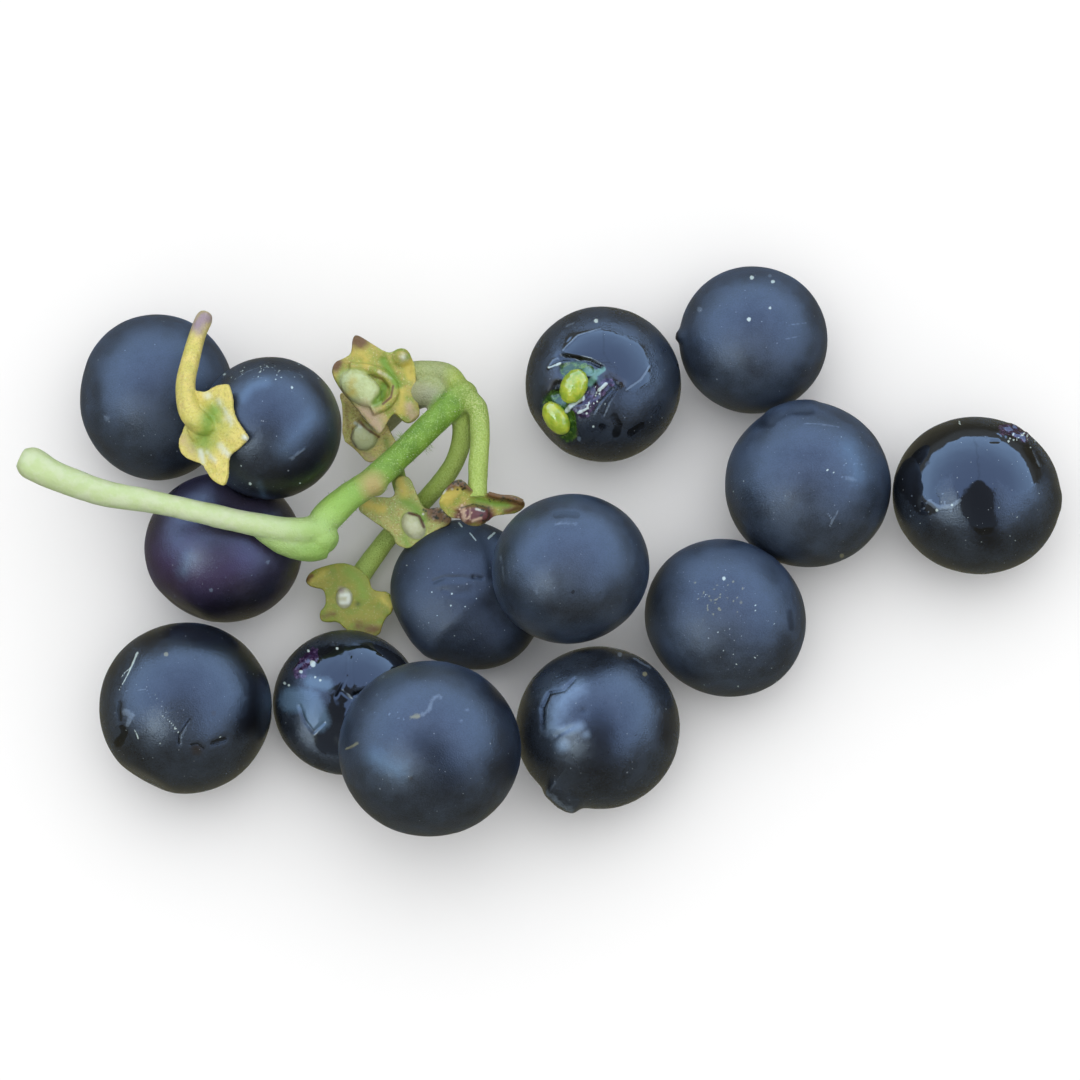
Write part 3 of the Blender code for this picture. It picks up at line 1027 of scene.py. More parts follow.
@dataclass
class Stalk:
    """The cut green stalk with its short stems.

    Attributes:
        peduncle: The pale cut end.
        heel: The little crescent under the bend.
        rachis: The main stem above the bend.
        pedicels: The short stems.
        balls: Swellings: x, y, z and radius.
        scar: Place of the leaf scar, and its radius.
        voxel: Fineness of the skin.
        hair_count: Short hairs scattered over the main stem.
        tufts: Pixels that show tufts of longer hair.
    """

    peduncle: Limb = Limb(((-42.4, 4.2, 17.3, 0.8), (-41.6, 3.8, 17.2, 1.35), (-39.4, 2.7, 17.0, 1.2),
                           (-35.7, 1.6, 16.0, 1.1), (-31.0, 1.0, 14.8, 0.95),
                           (-25.4, 0.0, 13.6, 0.95), (-21.0, -0.6, 12.5, 1.05),
                           (-18.3, -0.3, 11.3, 1.2)))
    heel: Limb = Limb(((-23.2, -0.9, 12.7, 0.5), (-21.2, -1.6, 11.8, 0.9),
                       (-19.3, -1.9, 11.0, 1.0), (-17.8, -1.5, 10.6, 1.05)))
    rachis: Limb = Limb(((-18.6, -0.4, 11.3, 1.1), (-17.4, 1.1, 11.0, 1.3), (-15.8, 2.7, 10.7, 1.2),
                         (-13.8, 4.3, 10.3, 1.12), (-11.4, 6.8, 9.8, 1.12),
                         (-8.7, 9.6, 9.6, 1.15), (-6.8, 11.6, 9.4, 1.25)))
    pedicels: tuple[Limb, ...] = (
        Limb(((-6.6, 11.9, 9.3, 1.0), (-7.5, 13.6, 8.9, 0.98), (-9.0, 14.3, 8.1, 0.94),
              (-10.8, 14.5, 7.4, 0.9), (-13.0, 13.8, 7.2, 0.9), (-14.4, 13.1, 7.8, 0.95))),
        Limb(((-7.7, 11.8, 8.6, 1.2), (-9.7, 12.6, 7.7, 1.25), (-11.6, 11.9, 5.6, 0.85),
              (-13.5, 10.5, 3.8, 0.75), (-14.8, 9.8, 4.0, 0.72))),
        Limb(((-6.6, 11.8, 9.4, 0.9), (-5.3, 10.8, 9.6, 0.88), (-5.0, 8.6, 9.8, 0.83),
              (-5.1, 6.2, 9.8, 0.83), (-5.2, 4.0, 9.6, 0.82), (-5.2, 3.0, 9.4, 0.88))),
        Limb(((-6.8, 11.4, 9.0, 0.85), (-6.5, 9.4, 7.6, 0.84), (-6.9, 7.6, 6.3, 0.8),
              (-7.9, 6.1, 5.1, 0.8), (-9.7, 4.4, 3.6, 0.8), (-12.6, 1.7, 2.3, 0.8),
              (-14.6, -1.0, 2.1, 0.85), (-15.9, -3.3, 2.9, 0.9))),
        Limb(((-12.2, 6.3, 9.2, 0.65), (-12.1, 6.5, 7.0, 0.62), (-11.8, 5.6, 4.9, 0.62),
              (-11.4, 3.8, 4.4, 0.62), (-11.0, 2.4, 4.9, 0.7))),
    )
    balls: tuple[tuple[float, float, float, float], ...] = (
        (-6.5, 11.9, 9.3, 1.3), (-18.3, -0.3, 11.2, 1.35), (-13.7, 4.0, 10.3, 1.1), (-17.9, -0.9, 10.9, 1.3),
        (-19.8, -1.0, 11.6, 1.0), (-8.4, 11.3, 8.2, 1.1))
    scar: tuple[float, float, float, float] = (-13.95, 3.6, 11.0, 1.25)
    voxel: float = 0.15
    hair_count: int = 260
    tufts: tuple[Pixel, ...] = ((431, 452), (403, 441), (398, 437))

    def build(self, camera: PictureCamera) -> None:
        """Make the stalk and its hairs.

        Args:
            camera: The camera that saw the hairs.
        """
        offset = np.array([*cluster_offset(), 0.0])
        limbs = [self.peduncle, self.heel, self.rachis, *self.pedicels]
        shells = [limb.shell() for limb in limbs]
        shells += [ball_shell(np.array(ball[:3]) + offset, (ball[3],) * 3) for ball in self.balls]
        piece = melt("stalk_skin", shells, self.voxel, 5)
        points = read_points(piece)
        normals = read_normals(piece)
        bumpy = 0.07 * layered_noise(points, 1.6, 2.0, 2)
        write_points(piece, points + normals * bumpy[:, None])
        self.colour(piece, points, offset)
        piece.data.materials.append(StalkSkin().material())
        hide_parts("stalk")
        LOG.info("%s: %d points", piece.name, len(piece.data.vertices))
        self.hairs(camera, points, normals)

    def colour(self, piece: bpy.types.Object, points: np.ndarray, offset: np.ndarray) -> None:
        """Store where the stalk changes its colour.

        Args:
            piece: The stalk.
            points: Its points.
            offset: How far the cluster was moved.
        """
        from_peduncle, along = route_distance(points, self.peduncle.rows())
        from_rachis, up_rachis = route_distance(points, self.rachis.rows())
        near = np.clip((from_rachis - from_peduncle + 1.2) / 2.4, 0, 1)
        from_heel, _ = route_distance(points, self.heel.rows())
        # painted shade: near the heel the pale colours are cut back, so the crescent under the bend shows the darker
        # green of its shadow
        heel = np.clip((from_peduncle - from_heel) / 0.9 + 0.35, 0, 1)
        store(piece, Tone.OLD.value, near * np.clip(2.6 - along * 2.2, 0, 1) * (1 - 0.6 * heel))
        store(piece, Tone.PALE.value, np.clip(1.25 - up_rachis * 2.2, 0, 1) * (1 - 0.5 * heel))
        away = np.linalg.norm(points - np.array(self.scar[:3]) - offset, axis=1)
        store(piece, Tone.PINK.value, np.clip(1.3 - away / self.scar[3], 0, 0.85))
        for tone, limb, most in ((Tone.YELLOW, self.pedicels[0], 0.9), (Tone.PURPLE, self.pedicels[1], 0.8),
                                 (Tone.WHITE, self.pedicels[2], 0.9), (Tone.GREEN, self.pedicels[3], 0.85)):
            distance, _ = route_distance(points, limb.rows())
            rest = np.minimum(from_rachis, from_peduncle)
            store(piece, tone.value, np.clip((rest - distance) / 1.2 + 0.3, 0, most))

    def hairs(self, camera: PictureCamera, points: np.ndarray, normals: np.ndarray) -> None:
        """Make the short hairs on the main stem.

        Args:
            camera: The camera that saw the tufts.
            points: Points of the stalk.
            normals: Directions that they face.
        """
        rng = np.random.default_rng(11)
        from_rachis, _ = route_distance(points, self.rachis.rows())
        stem = np.flatnonzero(from_rachis < 1.5)
        chosen = list(rng.choice(stem, self.hair_count))
        lengths = list(rng.uniform(0.12, 0.28, self.hair_count))
        pixels = camera.project(points)
        for tuft in self.tufts:
            near = np.argsort(np.linalg.norm(pixels - np.array(tuft), axis=1))[:60]
            chosen += list(rng.choice(near, 12))
            lengths += list(rng.uniform(0.35, 0.8, 12))
        corners, faces = [], []
        for number, length in zip(chosen, lengths):
            root, normal = points[number], normals[number]
            side = np.cross(normal, rng.normal(size=3))
            side /= np.linalg.norm(side)
            other = np.cross(normal, side)
            bend = (side * rng.normal(0, 0.3) + other * rng.normal(0, 0.3)) * length
            first = len(corners)
            for angle in (0.0, math.tau / 3, math.tau * 2 / 3):
                corners.append(root - normal * 0.08 + (side * math.cos(angle) + other * math.sin(angle)) * 0.035)
            corners.append(root + normal * length + bend)
            faces += [[first, first + 1, first + 3], [first + 1, first + 2, first + 3],
                      [first + 2, first, first + 3], [first + 2, first + 1, first]]
        piece = make_piece("stalk_hairs", np.array(corners), faces)
        material, bench = new_material("stalk hair")
        shades = bench.clouds(0.5, 1)
        bench.feed(bench.shader.inputs["Base Color"],
                   bench.mix(bench.ramp(shades, 0.4, 0.6), (0.30, 0.42, 0.14, 1.0), (0.66, 0.70, 0.50, 1.0)))
        bench.shader.inputs["Roughness"].default_value = 0.6
        piece.data.materials.append(material)
        LOG.info("%s: %d points", piece.name, len(piece.data.vertices))


@dataclass(frozen=True)
class Knob:
    """A round lump on a calyx.

    Attributes:
        pixel: Where its middle shows.
        rise: How far its middle lies above the leaf, towards the eye.
        sizes: Half sizes along its length, across it, and towards the eye.
        turn: How its length is turned in the picture, in degrees anticlockwise from the right.
        pale: Whether it is the pale scar that held a berry.
    """

    pixel: Pixel
    rise: float
    sizes: Point3
    turn: float = 0.0
    pale: bool = False


@dataclass(frozen=True)
class Rib:
    """A round ridge on a calyx.

    Attributes:
        points: Pixels along it.
        rise: How far its middle lies above the leaf.
        radius: Its radius.
    """

    points: tuple[Pixel, ...]
    rise: float
    radius: float


@dataclass(frozen=True)
class CalyxSkin:
    """The dull leafy skin of a calyx.

    Attributes:
        green: Colour near its middle.
        yellow: Colour of its lobes.
        scar: Colour of the scar that held the berry.
        rim: Colour of the rim around the scar.
        roughness: Roughness.
        freckles: How strong its freckles are.
    """

    green: Colour = (0.25, 0.32, 0.05, 1.0)
    yellow: Colour = (0.45, 0.37, 0.09, 1.0)
    scar: Colour = (0.78, 0.88, 0.56, 1.0)
    rim: Colour = (0.34, 0.38, 0.10, 1.0)
    roughness: float = 0.5
    freckles: float = 0.35

    def material(self, name: str) -> bpy.types.Material:
        """Build the material of one calyx.

        Args:
            name: The material's name.

        Returns:
            The material.
        """
        material, bench = new_material(name)
        mottle = bench.clouds(0.9, 4, 0.65)
        fine = bench.clouds(0.2, 2, 0.7)
        colour = bench.mix(bench.ramp(mottle, 0.35, 0.65), self.green, self.yellow)
        freckles = bench.math("MULTIPLY", bench.ramp(fine, 0.5, 0.64), self.freckles)
        colour = bench.mix(freckles, colour, (0.30, 0.17, 0.05, 1.0))
        pale = bench.math("MULTIPLY", bench.ramp(bench.clouds(0.16, 1, 0.5), 0.6, 0.72), self.freckles)
        colour = bench.mix(pale, colour, (0.72, 0.70, 0.44, 1.0))
        scar = bench.attribute("scar")
        speckled = bench.mix(bench.math("MULTIPLY", bench.ramp(mottle, 0.4, 0.75), 0.5), self.scar, self.rim)
        colour = bench.mix(bench.ramp(scar, 0.35, 0.5), colour, self.rim)
        colour = bench.mix(bench.ramp(scar, 0.5, 0.75), colour, speckled)
        for tone, shade, raggedness in (
                (Tone.GREEN, (0.17, 0.30, 0.035, 1.0), 0.7), (Tone.YELLOW, (0.54, 0.44, 0.09, 1.0), 0.6),
                (Tone.PURPLE, (0.10, 0.008, 0.03, 1.0), 0.5), (Tone.PINK, (0.50, 0.36, 0.25, 1.0), 0.6),
                (Tone.WHITE, (0.64, 0.68, 0.58, 1.0), 0.7), (Tone.VIOLET, (0.28, 0.20, 0.26, 1.0), 0.5),
                (Tone.BROWN, (0.13, 0.05, 0.018, 1.0), 0.8), (Tone.DARK, (0.016, 0.024, 0.008, 1.0), 0.3)):
            cover = bench.math("MULTIPLY", bench.stain(tone, mottle, raggedness), 0.9)
            colour = bench.mix(cover, colour, shade)
        bench.feed(bench.shader.inputs["Base Color"], colour)
        bench.feed(bench.shader.inputs["Roughness"],
                   bench.blend(bench.ramp(scar, 0.4, 0.6), self.roughness, 0.3))
        bench.shader.inputs["Specular IOR Level"].default_value = 0.3
        bench.shader.inputs["Subsurface Weight"].default_value = 0.1
        bench.shader.inputs["Subsurface Radius"].default_value = (0.6, 0.6, 0.2)
        bench.shader.inputs["Subsurface Scale"].default_value = 0.4 * MM
        bench.bump([(fine, 0.05), (mottle, 0.16)])
        return material


@dataclass
class Calyx:
    """A leafy calyx, built from its outline in the picture.

    Attributes:
        node: Name of the solid.
        middle: Pixel of its middle.
        height: Height of its middle.
        outline: Pixels around its edge.
        facing: Direction that its leafy star faces.
        thickness: Thickness of the leaf.
        knobs: Round lumps on it.
        ribs: Ridges on it.
        marks: Its tones and its relief.
        skin: Its finish.
        extra: Stems that are grown on to it.
        rests_on: The berry that it lies on.
        voxel: Fineness of its skin.
    """

    node: str
    middle: Pixel
    height: float
    outline: tuple[Pixel, ...]
    facing: Point3 = (0.0, -0.2, 1.0)
    thickness: float = 0.55
    knobs: tuple[Knob, ...] = ()
    ribs: tuple[Rib, ...] = ()
    marks: tuple[Stroke, ...] = ()
    skin: CalyxSkin = field(default_factory=CalyxSkin)
    extra: tuple[Limb, ...] = ()
    rests_on: str | None = None
    voxel: float = 0.1

    def leaf(self, camera: PictureCamera) -> tuple[np.ndarray, list[list[int]]]:
        """Points and faces of the leafy star.

        Args:
            camera: The camera that its outline is seen through.

        Returns:
            Points and faces.
        """
        normal = np.array(self.facing) / np.linalg.norm(self.facing)
        knots = np.array(self.outline, float)
        ring = np.concatenate([(knots * 0.75 + np.roll(knots, -1, 0) * 0.25)[:, None],
                               (knots * 0.25 + np.roll(knots, -1, 0) * 0.75)[:, None]], axis=1)
        flat = camera.meet(ring.reshape(-1, 2), camera.lift(self.middle, self.height), normal)
        count = len(flat)
        points = np.vstack([flat + normal * self.thickness / 2, flat - normal * self.thickness / 2])
        faces = [list(range(count)), list(range(count, 2 * count))[::-1]]
        for here in range(count):
            after = (here + 1) % count
            faces.append([here, after, after + count, here + count])
        return points, faces

    def knob_frame(self, knob: Knob, camera: PictureCamera) -> tuple[np.ndarray, np.ndarray]:
        """Middle and axes of a knob."""
        start = camera.lift(self.middle, self.height)
        place = camera.meet([knob.pixel], start, self.facing)[0] + camera.back * knob.rise
        angle = math.radians(knob.turn)
        right = np.array([1.0, 0.0, 0.0])
        along = right * math.cos(angle) + camera.up * math.sin(angle)
        return place, np.stack([along, np.cross(camera.back, along), camera.back], axis=1)

    def build(self, camera: PictureCamera) -> bpy.types.Object:
        """Make the calyx.

        Args:
            camera: The camera that its parts are placed through.

        Returns:
            The piece.
        """
        start = camera.lift(self.middle, self.height)
        shells = [self.leaf(camera)]
        for knob in self.knobs:
            place, axes = self.knob_frame(knob, camera)
            shells.append(ball_shell(place, knob.sizes, axes))
        for rib in self.ribs:
            line = camera.meet(rib.points, start, self.facing) + camera.back * rib.rise
            shells.append(tube_shell(curve_rows(np.column_stack([line, np.full(len(line), rib.radius)]), 0.15), 12))
        shells += [limb.shell() for limb in self.extra]
        piece = melt(f"{self.node}_skin", shells, self.voxel, 4)
        points = read_points(piece)
        paint = Paint(points, np.ones(len(points)), camera)
        lift = paint.apply(self.marks) + 0.06 * layered_noise(points, 0.9, 5.0, 2)
        moved = points + np.outer(lift, camera.back)
        if self.rests_on is not None:
            middle, half = box_of(self.rests_on)
            ratio = np.linalg.norm((moved - middle) / (half + 0.08), axis=1)
            moved = np.where((ratio < 1)[:, None], middle + (moved - middle) / ratio[:, None], moved)
        write_points(piece, moved)
        scar = np.zeros(len(points))
        for knob in self.knobs:
            if knob.pale:
                place, axes = self.knob_frame(knob, camera)
                ratio = np.linalg.norm(((points - place) @ axes) / np.array(knob.sizes), axis=1)
                scar = np.maximum(scar, np.clip(1.6 - ratio, 0, 1))
        store(piece, "scar", scar)
        paint.store(piece)
        piece.data.materials.append(self.skin.material(f"{self.node} skin"))
        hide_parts(self.node)
        return piece


@dataclass(frozen=True)
class Seed:
    """A wet seed in the split berry.

    Attributes:
        node: Name of the solid.
        light: Its lighter colour.
        dark: Its darker colour.
    """

    node: str
    light: Colour = (0.50, 0.56, 0.06, 1.0)
    dark: Colour = (0.24, 0.38, 0.03, 1.0)

    def build(self) -> bpy.types.Object:
        """Make the seed from its solid, smoothed.

        Returns:
            The piece.
        """
        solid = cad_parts[self.node]
        piece = bpy.data.objects.new(f"{self.node}_skin", solid.data.copy())
        bpy.context.scene.collection.objects.link(piece)
        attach(piece, BODY)
        weld = bmesh.new()
        weld.from_mesh(piece.data)
        bmesh.ops.remove_doubles(weld, verts=weld.verts, dist=0.0005 * MM)
        bmesh.ops.subdivide_edges(weld, edges=weld.edges, cuts=2, use_grid_fill=True, smooth=1.0)
        weld.to_mesh(piece.data)
        weld.free()
        piece.data.shade_smooth()
        material, bench = new_material(f"{self.node} skin")
        clouds = bench.clouds(0.9, 3, 0.6)
        bench.feed(bench.shader.inputs["Base Color"],
                   bench.mix(bench.ramp(clouds, 0.3, 0.7), self.dark, self.light))
        bench.shader.inputs["Roughness"].default_value = 0.12
        bench.shader.inputs["Subsurface Weight"].default_value = 0.2
        bench.shader.inputs["Subsurface Scale"].default_value = 0.6 * MM
        bench.bump([(clouds, 0.1)])
        piece.data.materials.clear()
        piece.data.materials.append(material)
        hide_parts(self.node)
        return piece


@dataclass(frozen=True)
class Studio:
    """The pale floor and the soft light.

    Attributes:
        floor_radius: Radius of the flat floor.
        wall_height: Height that its rim curves up to.
        floor_colour: Colour of the floor.
        soft: Light that falls on dull surfaces from straight above.
        soft_side: Light that falls on them from the side.
        soft_under: Light that falls on them from below.
        overhead: Blue of the reflected sky straight above.
        low_sky: Blue of the reflected sky near its lower edge.
        haze: What is reflected just under that edge.
        gloom: What is reflected from near the floor.
        edge: Height of the sky's lower edge, at the back and in front.
        hood_width: Half width of the dark shape over the camera.
        glow: The brightest light in the sky.
        glow_place: Direction of it.
    """

    floor_radius: float = 450.0
    wall_height: float = 300.0
    floor_colour: Colour = (0.86, 0.845, 0.82, 1.0)
    soft: Colour = (2.20, 2.24, 2.30, 1.0)
    soft_side: Colour = (0.25, 0.25, 0.26, 1.0)
    soft_under: Colour = (0.30, 0.30, 0.24, 1.0)
    overhead: Colour = (1.5, 2.3, 4.3, 1.0)
    low_sky: Colour = (2.6, 4.1, 6.8, 1.0)
    haze: Colour = (0.62, 0.70, 0.76, 1.0)
    gloom: Colour = (0.20, 0.19, 0.13, 1.0)
    edge: tuple[float, float] = (0.17, 0.48)
    hood_width: float = 0.36
    glow: Colour = (8.0, 10.0, 11.5, 1.0)
    glow_place: Point3 = (-0.56, -0.48, 0.68)

    def build(self) -> None:
        """Make the floor and the light, and show colours as they are."""
        self.build_floor()
        self.build_light()
        view = bpy.context.scene.view_settings
        view.view_transform = "Standard"
        view.look = "None"

    def build_floor(self) -> None:
        """Make a round floor that curves up at its rim and throws no light back."""
        profile = [(radius, 0.0) for radius in np.linspace(0.0, self.floor_radius, 6)]
        for angle in np.linspace(0, math.pi / 2, 12)[1:]:
            profile.append((self.floor_radius + self.wall_height * math.sin(angle),
                            self.wall_height * (1 - math.cos(angle))))
        sides = 96
        points, faces = [], []
        for radius, height in profile[1:]:
            for side in range(sides):
                angle = side / sides * math.tau
                points.append((radius * math.cos(angle), radius * math.sin(angle), height))
        for ring in range(len(profile) - 2):
            for side in range(sides):
                after = (side + 1) % sides
                low, high = ring * sides, (ring + 1) * sides
                faces.append([low + side, high + side, high + after, low + after])
        faces.append(list(range(sides)))
        mesh = bpy.data.meshes.new("floor")
        mesh.from_pydata((np.array(points) * MM).tolist(), [], faces)
        mesh.shade_smooth()
        floor = bpy.data.objects.new("floor", mesh)
        bpy.context.scene.collection.objects.link(floor)
        material, bench = new_material("floor paper")
        bench.feed(bench.shader.inputs["Base Color"],
                   bench.mix(bench.math("MULTIPLY", bench.clouds(2.0, 1), 0.03), self.floor_colour,
                             (0.7, 0.69, 0.68, 1.0)))
        bench.shader.inputs["Roughness"].default_value = 0.9
        bench.shader.inputs["Specular IOR Level"].default_value = 0.0
        mesh.materials.append(material)
        floor.visible_glossy = False
        floor.visible_diffuse = False

    def build_light(self) -> None:
        """Make the soft light, and the sky that glossy skins mirror."""
        world = bpy.data.worlds.new("soft light")
        bpy.context.scene.world = world
        world.use_nodes = True
        world.cycles.sampling_method = "NONE"
        bench = NodeBench(world.node_tree, "Generated")
        split = bench.node("ShaderNodeSeparateXYZ")
        bench.feed(split.inputs[0], bench.place)
        x, y, z = split.outputs[0], split.outputs[1], split.outputs[2]
        wobble = bench.math("MULTIPLY", bench.math("SUBTRACT", bench.noise(4.0, 4, 0.6), 0.5), 0.16)
        level = bench.math("SQRT", bench.math("SUBTRACT", 1.0001, bench.math("MULTIPLY", z, z)))
        front = bench.ramp(bench.math("DIVIDE", bench.math("MULTIPLY", y, -1.0), level), 0.0, 0.42)
        edge = bench.blend(front, self.edge[0], self.edge[1])
        above = bench.math("ADD", bench.math("SUBTRACT", z, edge), wobble)
        sky = bench.mix(bench.ramp(z, 0.15, 0.95), self.low_sky, self.overhead)
        below = bench.mix(bench.ramp(above, -0.42, -0.02), self.gloom, self.haze)
        mirrored = bench.mix(bench.ramp(above, -0.02, 0.03), below, sky)
        reach = bench.math("SQRT", bench.math("MAXIMUM", bench.math("SUBTRACT", 0.10, y), 0.0))
        hood = bench.math("SUBTRACT", bench.math("MULTIPLY", reach, self.hood_width * 1.5),
                          bench.math("ABSOLUTE", bench.math("ADD", x, bench.math("MULTIPLY", wobble, 0.8))))
        hooded = bench.math("MULTIPLY", bench.ramp(hood, -0.03, 0.05), bench.ramp(z, 0.1, 0.4))
        glow = bench.node("ShaderNodeVectorMath", operation="DOT_PRODUCT")
        bench.feed(glow.inputs[0], bench.place)
        glow.inputs[1].default_value = Vector(self.glow_place).normalized()
        glowing = bench.ramp(bench.math("ADD", glow.outputs["Value"], bench.math("MULTIPLY", wobble, 0.3)),
                             math.cos(math.radians(17)), math.cos(math.radians(7)))
        mirrored = bench.mix(glowing, mirrored, self.glow)
        mirrored = bench.mix(bench.math("MULTIPLY", hooded, 0.9), mirrored, self.gloom)
        dull = bench.mix(bench.math("MULTIPLY", z, z), self.soft_side, self.soft)
        dull = bench.mix(bench.ramp(z, -0.02, 0.02), self.soft_under, dull)
        glossy = bench.node("ShaderNodeLightPath").outputs["Is Glossy Ray"]
        background = world.node_tree.nodes["Background"]
        bench.feed(background.inputs["Color"], bench.mix(glossy, dull, mirrored))
        background.inputs["Strength"].default_value = 1.0


